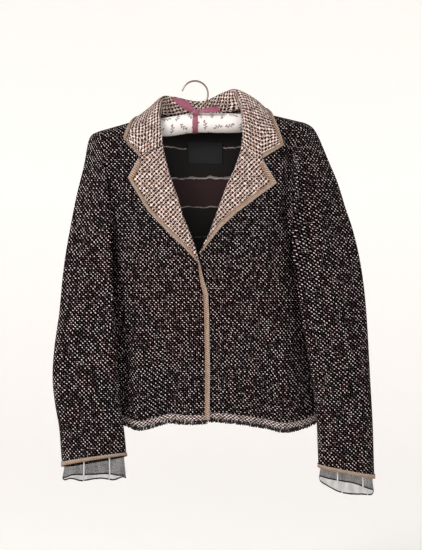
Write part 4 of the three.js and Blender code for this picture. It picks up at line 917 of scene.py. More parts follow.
def frill_points(side):
    """A frill's outside, in rows from its seam inside the sleeve to its hem. HIDDEN is the covered share."""
    f, out = FRILLS[side], SIDES[side]["out"]
    angle = turns(FRILL_COLUMNS)[None]
    t = np.linspace(0, 1, FRILL_ROWS + 1)[:, None]
    start = sleeve_points(side, FRILL_START, angle, FRILL_INSET)
    end = sleeve_points(side, SLEEVE_END, angle, FRILL_INSET)
    c, s = np.cos(angle), np.sin(angle)
    low_z = lerp(f["in_z"], f["out_z"], (1 + c) / 2) + s * np.where(s > 0, f["front_rise"], f["back_drop"])
    inside, hanging = np.clip(t / HIDDEN, 0, 1), np.clip((t - HIDDEN) / (1 - HIDDEN), 0, 1)
    below = ease(hanging)
    ripple = f["wave"] * np.sin(f["waves"] * angle + math.radians(f["phase"])) * below
    small = 0.5 * np.sin(19 * angle + 1.3) * inside + 0.4 * np.sin(31 * angle) * (1 - below)
    points = lerp(start, end, inside[..., None])
    x = points[..., 0] + out * c * (f["grow"] * below)
    y = points[..., 1] - s * (f["grow"] * below + ripple + small)
    z = lerp(points[..., 2], low_z + ripple * 0.4, hanging)
    return np.stack([x, y, z], axis=2)


def organza_material(name, from_u, front):
    """Sheer black cloth, less sheer from u = 0 to front, the forward half, where the gathers lie closer."""
    material, shader, start = new_material(name, 0.5)
    u, v = uv_axes(start)
    place = ((u + from_u) / STRIPE_STEP).fract()
    stripe = (place - 0.5).abs().fade(0.018, 0.03, 1.0, 0.0)
    hem = v.fade(2.2, 2.8, 1.0, 0.0)
    shaded = noise(start, u, v * 0.4, 13, 2.0, seed=5.0).fade(0.3, 0.7)
    forward = (u.abs() - front / 2).abs().fade(front * 0.46, front * 0.5, 1.0, 0.0)
    cloth = hem.blend(color(26, 25, 28), color(6, 6, 8))
    plug(shader, "Base Color", stripe.blend(cloth, color(206, 208, 212)))
    sheer = shaded * 0.1 + forward * 0.2 + 0.17
    plug(shader, "Alpha", (sheer + stripe * 0.3 + hem * 0.8).least(0.98))
    return material


for side in ("right", "left"):
    points = frill_points(side)
    uv = tube_uv(points, (0, 0, 1), -SIDES[side]["out"])
    from_hem = lengths_along(points[::-1], 0, [0, 1, 2])[::-1]
    uv[..., 1] = np.concatenate([from_hem, from_hem[:, :1]], axis=1)
    front = float(np.abs(uv[0, :, 0]).max()) / 2
    organza = organza_material("organza_" + side, FRILLS[side]["stripe"], front)
    frill = wall(f"frill_cuff_{side}_cloth", points, ORGANZA, organza, uv, ring=True,
                 facing=SIDES[side]["out"])
    sew(frill, "frill_cuff_" + side)


# ---------------------------------------------------------------- Lapels
# The fronts' facings turn out over a soft roll and show the tweed's reverse: thick pale strands that slant
# both ways, with the dark yarn in the gaps between them. A lapel's top edge is sewn to the collar as far as
# the notch.
FACING = 2.4
LAPEL_GAP = 1.1
LAPEL_LIFT = FACING + LAPEL_GAP
ROLL_TOP_Z = -120
ROLL_START, ROLL_FADE = 12, 36
GORGE_SHARE, GORGE_GAP = 0.55, 0.3
ON_EDGE = 4.5
LAPEL_EDGE = {
    "right": np.array([(1.5, -330), (-17.2, -309.5), (-46.2, -282), (-84.8, -241), (-121, -180.6)]),
    "left": np.array([(15, -314), (28.5, -295), (48, -271), (76.8, -244), (113, -217), (149.2, -190.3)]),
}
# The roll round a front's edge from behind it: distances out from the roll line and depths behind the
# front's face, for the lapel's face and its other side, where it is rolled and where it starts flat.
ROLL = table(
    "out y under_out under_y flat_out flat_y flat_under",
    (8, 5.7, 8, 3.3, 0.9, -0.5, 1.5), (4, 5.5, 5, 3.3, 0.5, -0.9, 2.1), (1.1, 4, 3, 2.6, 0.2, -1.3, 2.7),
    (0, 1.2, 2.4, 1.2, 0.1, -1.8, 3.3), (1, -1.4, 2.9, -0.2, 0.5, -2.5, 3.9),
)
# Sections of the collar from its right end round the back of the neck to its left end: neck seam, fold,
# middle of the fall and outer edge. turned is 0 where the section keeps the corner of the notch.
COLLAR = {
    "neck": [(-61, -33, -116), (-63, -26, -88), (-62.5, -13, -68), (-60, 2, -58.5), (-42, 22, -61),
             (11, 29, -62), (60, 21, -54), (82, 2, -50), (84.4, -15, -60), (86.5, -26, -86),
             (88.5, -33, -117)],
    "fold": [(-57.4, -39.5, -119), (-62, -33, -84), (-65.5, -13, -48), (-61, 9, -26), (-42, 22, -23),
             (11, 29, -31), (54, 20, -15), (74, 9, -12.5), (84, -10, -36), (87.5, -33, -79),
             (85, -39.5, -120)],
    "mid": [(-100.6, -43.6, -141.6), (-93, -38, -98), (-90, -16, -64), (-84, 6, -46), (-56, 39, -44),
            (11, 41, -52), (74, 38, -36), (104, 6, -26), (113, -17, -47), (119, -39, -93),
            (122.5, -42.6, -146)],
    "edge": [(-129.1, -39.5, -109.4), (-126, -35, -96), (-119.5, -22, -80), (-109, 3, -68), (-72, 43, -74),
             (11, 42, -92), (92, 42, -68), (133.5, 3, -55), (143.5, -24, -67.5), (154.5, -34, -96),
             (162, -39, -121.6)],
}
COLLAR = {key: np.array(rows, float) for key, rows in COLLAR.items()}
COLLAR_TURNED = np.array([0, 1, 1, 1, 1, 1, 1, 1, 1, 1, 0], float)[:, None]
COLLAR_LAST = 10
FOLD_ROUND = 15
PALE_SCALE = 1.18


def hermite(a, slope_a, b, slope_b, t):
    """A smooth curve from a to b that leaves and arrives with the slopes given."""
    t2, t3 = t * t, t ** 3
    leaving = (2 * t3 - 3 * t2 + 1) * a + (t3 - 2 * t2 + t) * slope_a
    return leaving + (3 * t2 - 2 * t3) * b + (t3 - t2) * slope_b


def collar_sections(v):
    """All the collar's sections at a place v across it: 0 neck seam, 1 fold, 2 middle of the fall, 3 edge."""
    n, f, m, e = (COLLAR[key] for key in ("neck", "fold", "mid", "edge"))
    height = f - (n + m) / 2
    height /= np.linalg.norm(height, axis=1, keepdims=True)
    over = m - n
    over -= height * np.sum(over * height, axis=1, keepdims=True)
    over *= FOLD_ROUND / np.linalg.norm(over, axis=1, keepdims=True)
    at_mid = (e - f) * 0.5 * COLLAR_TURNED
    if v < 1:
        return hermite(n, (f - n) * 0.9, f, over, v)
    if v < 2:
        return hermite(f, over, m, at_mid, v - 1)
    return hermite(m, at_mid, e, (e - m) * COLLAR_TURNED, v - 2)


def collar_points(u, v):
    """The collar's face at a fractional section number and a place across it."""
    u, v = np.broadcast_arrays(np.asarray(u, float), np.asarray(v, float))
    points = np.empty(u.shape + (3,))
    for value in np.unique(v):
        here = v == value
        sections = collar_sections(value)
        i = np.minimum(np.floor(u[here]).astype(int), COLLAR_LAST - 1)
        t = (u[here] - i)[:, None]
        points[here] = spline(*(sections[np.clip(i + k, 0, COLLAR_LAST)] for k in (-1, 0, 1, 2)), t)
    return points


def gorge(side, t):
    """The seam between a lapel and the collar, just under the collar's end, seen from the front."""
    return collar_points(0 if side == "right" else COLLAR_LAST, 1 + t)[..., [0, 2]] - (0, GORGE_GAP)


def along_line(line, t):
    """Places at shares t of the length of a line of (x, z)."""
    run = np.concatenate([[0], np.cumsum(np.linalg.norm(np.diff(line, axis=0), axis=1))])
    return np.stack([np.interp(t * run[-1], run, line[:, k]) for k in (0, 1)], axis=-1)


def lapel_points(side, u, v):
    """The lapel's face: u from the roll line to the outer edge, v from the closure to the top."""
    u, v = np.broadcast_arrays(np.asarray(u, float), np.asarray(v, float))
    edge, share = LAPEL_EDGE[side], u[..., None]

    def roll_at(t):
        z = lerp(LAPEL_CLOSURE_Z[side], ROLL_TOP_Z, t)
        return np.stack([read(INNER_EDGE[side], "z", z, "x"), z], axis=-1)

    low, high = roll_at(np.zeros_like(u)), roll_at(np.ones_like(u))
    beyond = lerp(gorge(side, np.ones_like(u)), edge[-1], (share - GORGE_SHARE) / (1 - GORGE_SHARE))
    top = np.where(share < GORGE_SHARE, gorge(side, np.minimum(u / GORGE_SHARE, 1)), beyond)
    foot = lerp(low, edge[0], share)
    level = lerp(roll_at(v), along_line(edge, v), share)
    rise = lerp(foot, top, v[..., None]) - lerp(foot, lerp(high, edge[-1], share), v[..., None])
    x, z = np.moveaxis(level + rise, -1, 0)
    return np.stack([x, lapped_y(side, x, z) - LAPEL_LIFT, z], axis=-1)


def pale_tweed_material():
    material, shader, start = new_material("pale_tweed", 0.92, sheen=0.03)
    flat_u, flat_v = uv_axes(start)
    u = (flat_u + (noise(start, flat_u, flat_v, 18, seed=3.0) - 0.5) * 4) / PALE_SCALE
    v = (flat_v + (noise(start, flat_u, flat_v, 22, seed=9.0) - 0.5) * 4) / PALE_SCALE
    hole, own = flecks(start, u, v, 62, 2.0, long=5.2, wide=3.7)
    tick, tick_own = flecks(start, u + FLECK_STEP / 2, v, -35, 5.0, long=3.8, wide=1.5)
    gap = hole.most(tick * tick_own.fade(0.4, 0.6) * 0.85)
    node, lean = flecks(start, u + FLECK_STEP / 2, v, -20, 8.0, long=5.2, wide=4.0)
    yarn = noise(start, u, v, 1.1, 2.0, seed=2.0)
    rising = ((u + v + yarn) * (2 * math.pi / 3.4)).sine() * 0.5 + 0.5
    falling = ((u - v + yarn) * (2 * math.pi / 3.4)).sine() * 0.5 + 0.5
    side = lean.fade(0.4, 0.6)
    strand = side * rising + (1.0 - side) * falling
    shade = strand * 0.4 + node * 0.2 + yarn * 0.2 + lean * 0.2
    pale = shade.fade(0.15, 0.85).blend(color(122, 70, 56), color(255, 240, 230))
    dark = (own.fade(0.6, 1.0) * 0.5 + yarn * 0.2).blend(color(16, 5, 4), color(112, 62, 50))
    plug(shader, "Base Color", gap.blend(pale, dark))
    bumped(shader, start, (1.0 - gap) * 0.9 + strand * 0.4 + yarn * 0.3, 1.2)
    return material


PALE_TWEED = pale_tweed_material()
LAPEL_ROWS, LAPEL_COLUMNS, ROLL_STEPS = 72, 40, 17


def rolled_points(side, fold, flat_out, flat_y, out_column, y_column):
    """One side of the roll along the line fold: flat at the closure, and as ROLL says a little above it."""
    rolled = ease((fold[:, 2:] - LAPEL_CLOSURE_Z[side] - ROLL_START) / ROLL_FADE)
    x = fold[:, :1] + SIDES[side]["out"] * lerp(flat_out, roll_row(out_column), rolled)
    y = fold[:, 1:2] + LAPEL_LIFT + lerp(flat_y, roll_row(y_column), rolled)
    return np.stack([x, y, np.broadcast_to(fold[:, 2:], x.shape)], axis=2)


def roll_row(column):
    """A column of ROLL at the steps of the roll."""
    return read_row(ROLL, np.linspace(0, 4, ROLL_STEPS), column)[None]


for side in ("right", "left"):
    v = np.linspace(0, 1, LAPEL_ROWS + 1)
    fold, out = lapel_points(side, np.zeros_like(v), v), SIDES[side]["out"]
    first = ON_EDGE / np.linalg.norm(lapel_points(side, np.ones_like(v), v) - fold, axis=1)
    share = lerp(first[:, None], 1, np.linspace(0, 1, LAPEL_COLUMNS + 1)[None])
    flat = lapel_points(side, share, v[:, None])
    roll = rolled_points(side, fold, roll_row("flat_out"), roll_row("flat_y"), "out", "y")
    behind = rolled_points(side, fold, roll_row("flat_under"), -LAPEL_GAP, "under_out", "under_y")
    face = np.concatenate([roll, flat], axis=1)
    under = np.concatenate([behind, flat + (0, FACING, 0)], axis=1)
    run = lengths_along(face, 1, [0, 1])
    from_fold = run - run[:, ROLL_STEPS:ROLL_STEPS + 1]
    uv = np.stack([face[:, ROLL_STEPS:ROLL_STEPS + 1, 0] + out * from_fold, face[..., 2]], axis=2)
    lapel = shell(f"lapel_{side}_cloth", face, under, PALE_TWEED, uv)
    sew(lapel, "lapel_" + side)


# ---------------------------------------------------------------- Collar
# One strip of the pale tweed goes round the back of the neck. It stands up from the neck seam, folds over
# softly, and falls over the shoulders to the notches.
COLLAR_END, COLLAR_EDGE = 0.25, 2.8


def laid_flat(points):
    """UV of a bent strip as it is cut: each step turns by as much as one of its edges is the longer one."""
    across = lengths_along(points, 1, [0, 1, 2])
    across -= across.mean(axis=1, keepdims=True)
    step = np.linalg.norm(np.diff(points, axis=0), axis=2)
    between = (across[1:] + across[:-1]) / 2
    turn = (step * between).sum(axis=1) / (between ** 2).sum(axis=1)
    heading = np.concatenate([[0], np.cumsum(turn)])
    heading -= heading.mean()
    middle = (heading[1:] + heading[:-1]) / 2
    moved = step.mean(axis=1)[:, None] * np.stack([-np.sin(middle), np.cos(middle)], axis=1)
    centre = np.concatenate([[[0, 0]], np.cumsum(moved, axis=0)])
    return centre[:, None] + across[..., None] * np.stack([np.cos(heading), np.sin(heading)], axis=1)[:, None]


stand, bend, rest = np.linspace(0, 0.7, 8), np.linspace(0.7, 1.3, 15), np.linspace(1.3, 3, 27)
across = np.concatenate([stand, bend[1:], rest[1:]])
around = np.linspace(0, COLLAR_LAST, 161)
points = collar_points(around[:, None], across[None])
fall = wall("collar_cloth", points, FACING, PALE_TWEED, laid_flat(points), facing=-1)
sew(fall, "collar")


# ---------------------------------------------------------------- Braid on the edges
# The same braid goes round the collar's edge, up each lapel to its notch, and down the right front's edge,
# where it starts narrow at the closure.
BRAID_WIDTH = 7.0
LAPEL_BRAID_TOP = 0.94
FRONT_BRAID_WIDTH, FRONT_BRAID_START = 9.0, 3.5


def braid_strip(name, outer, inner, surface, facing):
    """Braid laid on a surface between an outer and an inner line of places, each a list of (u, v)."""
    steps = np.linspace(0, 1, 7)[None, :, None]
    at = np.linspace(0, len(outer) - 1, 12 * (len(outer) - 1) + 1)
    lines = []
    for line in (outer, inner):
        columns = [np.interp(at, range(len(line)), values) for values in np.array(line, float).T]
        lines.append(np.stack(columns, axis=1)[:, None])
    u, v = np.moveaxis(lerp(*lines, steps), 2, 0)
    points = surface(u, v)
    return wall(name, points, BRAID, TAN_BRAID, strip_uv(points), facing=facing, lift=LAYER_GAP + BRAID)


def braid_share(side, v):
    """The braid's share of a lapel's width at a place v up it."""
    wide = lapel_points(side, 1.0, v) - lapel_points(side, 0.0, v)
    return min(0.7, BRAID_WIDTH / float(np.linalg.norm(wide)))


for side in ("right", "left"):
    top = LAPEL_BRAID_TOP
    rising = np.linspace(0.01, top, 10)
    notch = np.linspace(1 - braid_share(side, 1.0), GORGE_SHARE + 0.03, 3)
    corner = 0.99 - braid_share(side, top)
    outer = [(1, v) for v in rising] + [(1, 1)] + [(u, 1) for u in notch]
    inner = [(1 - braid_share(side, v), v) for v in rising] + [(corner, top)]
    inner += [(min(u, corner - 0.01), top) for u in notch]
    trim = braid_strip(f"trim_lapel_{side}_braid", outer, inner, lambda u, v: lapel_points(side, u, v),
                       -SIDES[side]["out"])
    sew(trim, "trim_lapel_" + side)

down = [2.06, 2.4, COLLAR_EDGE]
along = [COLLAR_END, *np.linspace(0.5, COLLAR_LAST - 0.5, 2 * COLLAR_LAST - 1), COLLAR_LAST - COLLAR_END]
outer = [(0, v) for v in down] + [(0, 3)] + [(u, 3) for u in along] + [(COLLAR_LAST, 3)]
outer += [(COLLAR_LAST, v) for v in down[::-1]]
inner = [(COLLAR_END, v) for v in down] + [(COLLAR_END, COLLAR_EDGE)] + [(u, COLLAR_EDGE) for u in along]
inner += [(COLLAR_LAST - COLLAR_END, COLLAR_EDGE)] + [(COLLAR_LAST - COLLAR_END, v) for v in down[::-1]]
trim = braid_strip("trim_collar_braid", outer, inner, collar_points, 1)
sew(trim, "trim_collar")

z = np.linspace(LAPEL_CLOSURE_Z["right"] + 4, float(read(HEM["right"], "x", 27.0, "z")) + 1, 181)[:, None]
width = lerp(FRONT_BRAID_START, FRONT_BRAID_WIDTH, ease(np.linspace(0, 5, 181)))[:, None]
x = read(INNER_EDGE["right"], "z", z, "x") - width * np.linspace(0, 1, 9)[None]
points = np.stack([x, face_y("front", x, z), np.broadcast_to(z, x.shape)], axis=2)
trim = wall("trim_front_right_braid", points, BRAID, TAN_BRAID, strip_uv(points), lift=LAYER_GAP + BRAID)
sew(trim, "trim_front_right")


# ---------------------------------------------------------------- Frayed hem
# Under each panel's hem the tweed's warp ends stand free as a short dark fringe. Each strand is one yarn, a
# little bent and with its own length, and some are the cream yarn.
def strand_tree():
    """Strands of yarn hung at points along a line of edges."""
    tree = bpy.data.node_groups.new("hang_strands", "GeometryNodeTree")
    tree.is_modifier = True
    face = tree.interface
    face.new_socket("Geometry", in_out="INPUT", socket_type="NodeSocketGeometry")
    for label, kind in (("Strands", "Int"), ("Length", "Float"), ("Radius", "Float"), ("Seed", "Int"),
                        ("Yarn", "Material")):
        face.new_socket(label, in_out="INPUT", socket_type="NodeSocket" + kind)
    face.new_socket("Geometry", in_out="OUTPUT", socket_type="NodeSocketGeometry")
    given, links = tree.nodes.new("NodeGroupInput"), tree.links

    def node(kind, settings=None, **inputs):
        made = tree.nodes.new(kind)
        for key, value in (settings or {}).items():
            setattr(made, key, value)
        for key, value in inputs.items():
            socket = next(s for s in made.inputs if s.enabled and s.name == key.replace("_", " "))
            if isinstance(value, bpy.types.NodeSocket):
                links.new(value, socket)
            else:
                socket.default_value = value
        return made

    def random(low, high, seed):
        shift = node("ShaderNodeMath", {"operation": "ADD"})
        links.new(given.outputs["Seed"], shift.inputs[0])
        shift.inputs[1].default_value = seed
        vector = isinstance(low, tuple)
        made = node("FunctionNodeRandomValue", {"data_type": "FLOAT_VECTOR" if vector else "FLOAT"},
                    Min=low, Max=high, Seed=shift.outputs[0])
        return next(s for s in made.outputs if s.enabled)

    line = node("GeometryNodeMeshToCurve", Mesh=given.outputs["Geometry"])
    spread = node("GeometryNodeResampleCurve", Curve=line.outputs[0], Count=given.outputs["Strands"])
    points = node("GeometryNodeCurveToPoints", {"mode": "EVALUATED"}, Curve=spread.outputs[0])
    shifted = node("GeometryNodeSetPosition", Geometry=points.outputs[0],
                   Offset=random((-0.0009, -0.0009, -0.0002), (0.0009, 0.0009, 0.0006), 11))
    strand = node("GeometryNodeMeshCone", Vertices=5, Side_Segments=6, Fill_Segments=1, Radius_Top=0.0003,
                  Radius_Bottom=given.outputs["Radius"], Depth=given.outputs["Length"])
    down = node("ShaderNodeMath", {"operation": "MULTIPLY"})
    links.new(given.outputs["Length"], down.inputs[0])
    down.inputs[1].default_value = -1.0
    fall = node("ShaderNodeCombineXYZ", Z=down.outputs[0])
    hung = node("GeometryNodeTransform", Geometry=strand.outputs["Mesh"], Translation=fall.outputs[0])
    placed = node("GeometryNodeInstanceOnPoints", Points=shifted.outputs[0], Instance=hung.outputs[0],
                  Rotation=random((-0.28, -0.28, 0.0), (0.28, 0.28, 6.2), 5),
                  Scale=random((0.75, 0.75, 0.7), (1.3, 1.3, 1.12), 3))
    real = node("GeometryNodeRealizeInstances", Geometry=placed.outputs[0])
    wave = node("ShaderNodeTexNoise", {"noise_dimensions": "3D"}, Scale=260.0, Detail=1.0)
    centred = node("ShaderNodeVectorMath", {"operation": "SUBTRACT"})
    links.new(wave.outputs["Color"], centred.inputs[0])
    centred.inputs[1].default_value = (0.5, 0.5, 0.5)
    small = node("ShaderNodeVectorMath", {"operation": "MULTIPLY"})
    links.new(centred.outputs[0], small.inputs[0])
    small.inputs[1].default_value = (0.0028, 0.0028, 0.0)
    bent = node("GeometryNodeSetPosition", Geometry=real.outputs[0], Offset=small.outputs[0])
    yarn = node("GeometryNodeSetMaterial", Geometry=bent.outputs[0], Material=given.outputs["Yarn"])
    links.new(yarn.outputs[0], tree.nodes.new("NodeGroupOutput").inputs[0])
    return tree


def hang_strands(name, line, settings):
    """A plain mesh of the strands that the tree hangs along a line of points."""
    mesh = bpy.data.meshes.new(name + "_line")
    mesh.from_pydata((np.asarray(line) * MM).tolist(), [(i, i + 1) for i in range(len(line) - 1)], [])
    maker = bpy.data.objects.new(name + "_line", mesh)
    scene.collection.objects.link(maker)
    modifier = maker.modifiers.new("strands", "NODES")
    modifier.node_group = STRANDS
    sockets = {item.name: item.identifier for item in STRANDS.interface.items_tree if item.in_out == "INPUT"}
    for key, value in settings.items():
        modifier[sockets[key]] = value
    made = bpy.data.meshes.new_from_object(maker.evaluated_get(bpy.context.evaluated_depsgraph_get()))
    made.name = name
    maker.modifiers.clear()
    bpy.data.objects.remove(maker)
    piece = bpy.data.objects.new(name, made)
    scene.collection.objects.link(piece)
    return piece


def yarn_material(name, shade):
    material, shader, _ = new_material(name, 0.9, sheen=0.1)
    shader.inputs["Base Color"].default_value = color(*shade)
    return material


STRANDS = strand_tree()
STRAND_RADIUS = 0.00075
TUFTS = {
    "dark": {"yarn": yarn_material("dark_yarn", (24, 18, 17)), "share": 1.0, "length": 0.0076, "seed": 3},
    "pale": {"yarn": yarn_material("pale_yarn", (196, 172, 160)), "share": 0.05, "length": 0.006, "seed": 40},
}

for node, points, inward, count in (
        ("fringe_front_right", front_points("right"), 1.0, 620),
        ("fringe_front_left", front_points("left"), 1.0, 660),
        ("fringe_back", back_points(), -1.0, 1150)):
    line = points[0][1:-1] + (0, inward, -0.2)
    for shade, kind in TUFTS.items():
        tuft = hang_strands(f"{node}_{shade}", line, {
            "Strands": int(count * kind["share"]), "Length": kind["length"], "Radius": STRAND_RADIUS,
            "Seed": kind["seed"], "Yarn": kind["yarn"]})
        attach(tuft, "root")
        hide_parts(node)


# ---------------------------------------------------------------- Lining
# Black satin lines the back and shows in the open neck. It is sewn in under the collar, and printed with a
# broad brown band and thin wavering grey lines across it.
CONTACT_GAP = 0.3
LINING = 1.0
LINING_EASE = 9.0
LINING_TOP, LINING_HEM = 10.0, -588.0
LINING_SHARE, LINING_SIDE_DROP = 0.84, 24
LINING_ROWS, LINING_COLUMNS = 90, 100
SEWN_FADE, FOLD_SLANT = 60, 0.06
LINING_FOLDS = table(
    "x width depth",
    (-46, 9, 1.6), (-22, 7, -1.8), (3, 8, 2.4), (24, 9, -1.8), (52, 10, 2.0), (-80, 12, 2), (84, 12, 2),
    (116, 12, -2),
)


def lining_y(x, z):
    """y of the lining where it hangs smoothly: close to the back at the neck seam, and looser below."""
    sewn = neck_share(x) * ease(1 - (top_z("back", x) - LINING_TOP - z) / SEWN_FADE)
    return body_y("back", x, z) - CLOTH - lerp(LINING_EASE, CONTACT_GAP, sewn)


def lining_fold(x, z):
    """How far the lining's upright folds stand out at a place."""
    lean, folds = x + FOLD_SLANT * (z + 200), zip(*LINING_FOLDS.values())
    total = sum(depth * np.exp(-((lean - at) / width) ** 2) for at, width, depth in folds)
    return total * ease((top_z("back", x) - LINING_TOP - z) / 110) * ease((z + 600) / 60)


def lining_material():
    material, shader, start = new_material("printed_lining", 0.42)
    u, v = uv_axes(start)
    waver = (noise(start, u, v * 0.1, 17, 2.0, seed=4.0) - 0.5) * 9
    high = v + waver
    band = high.fade(-231, -229) * high.fade(-176, -178)
    broken = noise(start, u, v, 9, 2.0, seed=7.0).fade(0.3, 0.6, 0.45, 1.0)
    double = noise(start, u, v * 0.1, 23, 1.0, seed=11.0).fade(0.5, 0.6, 0.0, 2.6)
    line = (high + 176).abs().fade(0.8, 1.5, 1.0, 0.0) + (high + 230).abs().fade(0.7, 1.3, 0.9, 0.0)
    line = line + (high + 176 - double).abs().fade(0.5, 1.0, 0.7, 0.0)
    line = line + (high + 286).abs().fade(0.6, 1.1, 0.3, 0.0)
    curl = high + 122 - (u - 12).abs() * 0.06
    beside = (u - 18).abs().fade(33, 36)
    line = line + curl.abs().fade(0.7, 1.3, 1.0, 0.0) * beside
    ground = band.blend(color(19, 14, 15), color(46, 28, 29))
    plug(shader, "Base Color", (line.least(1.0) * broken).blend(ground, color(158, 152, 150)))
    return material


t, s = np.linspace(0, 1, LINING_ROWS + 1)[:, None], np.linspace(0, 1, LINING_COLUMNS + 1)[None]
seams_x = [float(side_edge("back", side, LINING_HEM)[0]) for side in ("right", "left")]
ends = [lerp(CENTRE_X, seam_x, LINING_SHARE) for seam_x in seams_x]
x = np.broadcast_to(lerp(*ends, s), (t.size, s.size))
high_edge = top_z("back", x) - LINING_TOP - LINING_SIDE_DROP * (1 - neck_share(x))
z = lerp(LINING_HEM, high_edge, 1 - (1 - t) ** 1.3)
points = np.stack([x, lining_y(x, z) + 1.2 - lining_fold(x, z) * 0.5, z], axis=2)
points[..., 1] = np.minimum(points[..., 1], lining_y(x, z))
uv = np.stack([x, z], axis=2)
back_lining = wall("lining_back_cloth", points, LINING, lining_material(), uv, lift=LINING)
sew(back_lining, "lining_back")


# ---------------------------------------------------------------- Label
# A blank dark grey label of woven satin lies on the lining under the neck, a little wider than it is high,
# and is sewn down round its edge.
LABEL = 0.6
LABEL_AT, LABEL_SIZE = (-14, -150), (66, 42)


def label_material():
    material, shader, start = new_material("label_satin", 0.5)
    u, v = uv_axes(start)
    weave = (v * (2 * math.pi / 0.8)).sine() * 0.5 + 0.5
    tone = weave * 0.5 + noise(start, u, v, 2) * 0.5
    plug(shader, "Base Color", tone.blend(color(24, 25, 27), color(34, 35, 38)))
    return material


s, t = np.linspace(0, 1, 33)[None], np.linspace(0, 1, 21)[:, None]
x, z = np.broadcast_arrays(LABEL_AT[0] + LABEL_SIZE[0] * s, LABEL_AT[1] + LABEL_SIZE[1] * t)
points = np.stack([x, lining_y(x, z) - LINING, z], axis=2)
uv = np.stack([x, z], axis=2)
label = wall("neck_label_cloth", points, LABEL, label_material(), uv, lift=LAYER_GAP + LABEL)
sew(label, "neck_label")


# ---------------------------------------------------------------- Padded bar of the hanger
# A wooden bar is wrapped in wadding and covered with white cotton, printed all over with small grey and mauve
# sprigs. The cover is gathered along a seam underneath, so it is a little puckered there.
BAR_CROWN = table("x top", (-84, -68.6), (-61, -66.8), (-4, -58.3), (45, -58), (85, -59.2), (104, -60))
BAR = {"start": -168.0, "end": 192.0, "high": 18.0, "deep": 18.0, "end_high": 12.0, "end_deep": 9.0}
BAR_END_ROUND = 16
BAR_SLIM, BAR_SLIM_RATE = 1.15, 3
SEAT_GAP = 1.5
SPRIG_STEP = 21.0
SPRIG_LEAVES = ((-5.0, 2.3, 0.9), (-3.0, -1.7, -0.9), (0.2, 2.2, 0.8), (2.6, -1.6, -0.8), (5.0, 2.6, 0.6))


def bar_top(x):
    """Height of the bar's top: under the shoulders it carries, and bare between them."""
    seat = shoulder_z(x) - CLOTH - SEAT_GAP
    crown = read(BAR_CROWN, "x", x, "top")
    outside = np.where(x < CENTRE_X, ease((-x - 75) / 30), ease((x - 90) / 30))
    return lerp(np.minimum(crown, seat), seat, outside)


def bar_points(x, angle, grow=0.0):
    """Sections of the bar at places x, at angles from its top towards the back."""
    end = np.minimum(x - BAR["start"], BAR["end"] - x)
    taper = np.sqrt(1 - (1 - np.clip(end / BAR_END_ROUND, 0, 1)) ** 2)
    share = ease(BAR_SLIM - BAR_SLIM_RATE * end / (BAR["end"] - BAR["start"]))
    high, deep = lerp(BAR["high"], BAR["end_high"], share), lerp(BAR["deep"], BAR["end_deep"], share)
    gathers = 0.35 * np.sin(x * 1.15 + 2 * np.sin(x * 0.13)) + 0.25 * np.sin(x * 0.62 + 1)
    pucker = gathers * (0.5 - 0.5 * np.cos(angle)) ** 2
    wide = taper - pucker * taper / high
    y = (deep * wide + grow) * np.sin(angle)
    z = bar_top(x) + high * (taper * np.cos(angle) - 1) + grow * np.cos(angle)
    return np.stack(np.broadcast_arrays(x, y, z), axis=-1)


def loft(name, sections, material, uv):
    """A closed body through rings of points, with a flat face at each end."""
    down, around = sections.shape[:2]
    i, j = (a.ravel() for a in np.meshgrid(np.arange(down - 1), np.arange(around), indexing="ij"))
    cell = [(i, j), (i, j + 1), (i + 1, j + 1), (i + 1, j)]
    faces = np.stack([row * around + column % around for row, column in cell], axis=1)
    corners = np.stack([uv[place] for place in cell], axis=1)
    points = sections.reshape(-1, 3)
    turn = 1 if volume_of(points, faces) > 0 else -1
    caps = [list(range(around))[::-1], list(range((down - 1) * around, down * around))]
    ends = [uv[0, :-1][::-1], uv[-1, :-1]]
    flat = np.concatenate([corners[:, ::turn].reshape(-1, 2)] + [end[::turn] for end in ends])
    return new_object(name, points, faces[:, ::turn].tolist() + [cap[::turn] for cap in caps], flat, material)


def print_material():
    material, shader, start = new_material("sprigged_cotton", 0.85, sheen=0.05)
    u, v = uv_axes(start)
    step = SPRIG_STEP
    row = (v / step).floor()
    across = u / step + row * 0.5
    column = across.floor()
    turn = per_cell(start, column, row, 1.0) * (2 * math.pi)
    cos, sin = start.math("COSINE", turn), turn.sine()
    x = (across.fract() - 0.5) * step + (per_cell(start, column, row, 2.0) - 0.5) * 3
    y = ((v / step).fract() - 0.5) * step + (per_cell(start, column, row, 3.0) - 0.5) * 3
    along, beside = x * cos + y * sin, y * cos - x * sin

    def spot(cx, cy, long, wide, lean):
        """An oval at a place on the sprig."""
        c, s = math.cos(lean), math.sin(lean)
        dx, dy = along - cx, beside - cy
        a, b = (dx * c + dy * s) / long, (dy * c - dx * s) / wide
        return (a * a + b * b).fade(1.2, 0.7)

    stem = (beside - along * along * 0.03).abs().fade(0.25, 0.7, 1.0, 0.0)
    leaves = stem * along.abs().fade(7.4, 8.0, 1.0, 0.0)
    for cx, cy, lean in SPRIG_LEAVES:
        leaves = leaves.most(spot(cx, cy, 2.5, 0.85, lean))
    bud = spot(7.6, 1.5, 1.9, 1.5, 0.0).most(spot(-7.2, 0.8, 1.4, 1.1, 0.4))
    tone = noise(start, u, v, 30, 1.0, seed=8.0)
    cloth = tone.blend(color(222, 214, 210), color(242, 238, 234))
    printed = (leaves * 0.9).blend(cloth, color(78, 70, 84))
    plug(shader, "Base Color", (bud * 0.9).blend(printed, color(138, 84, 108)))
    bumped(shader, start, noise(start, u, v * 0.3, 3.5, 2.0, seed=5.0), 0.6)
    return material


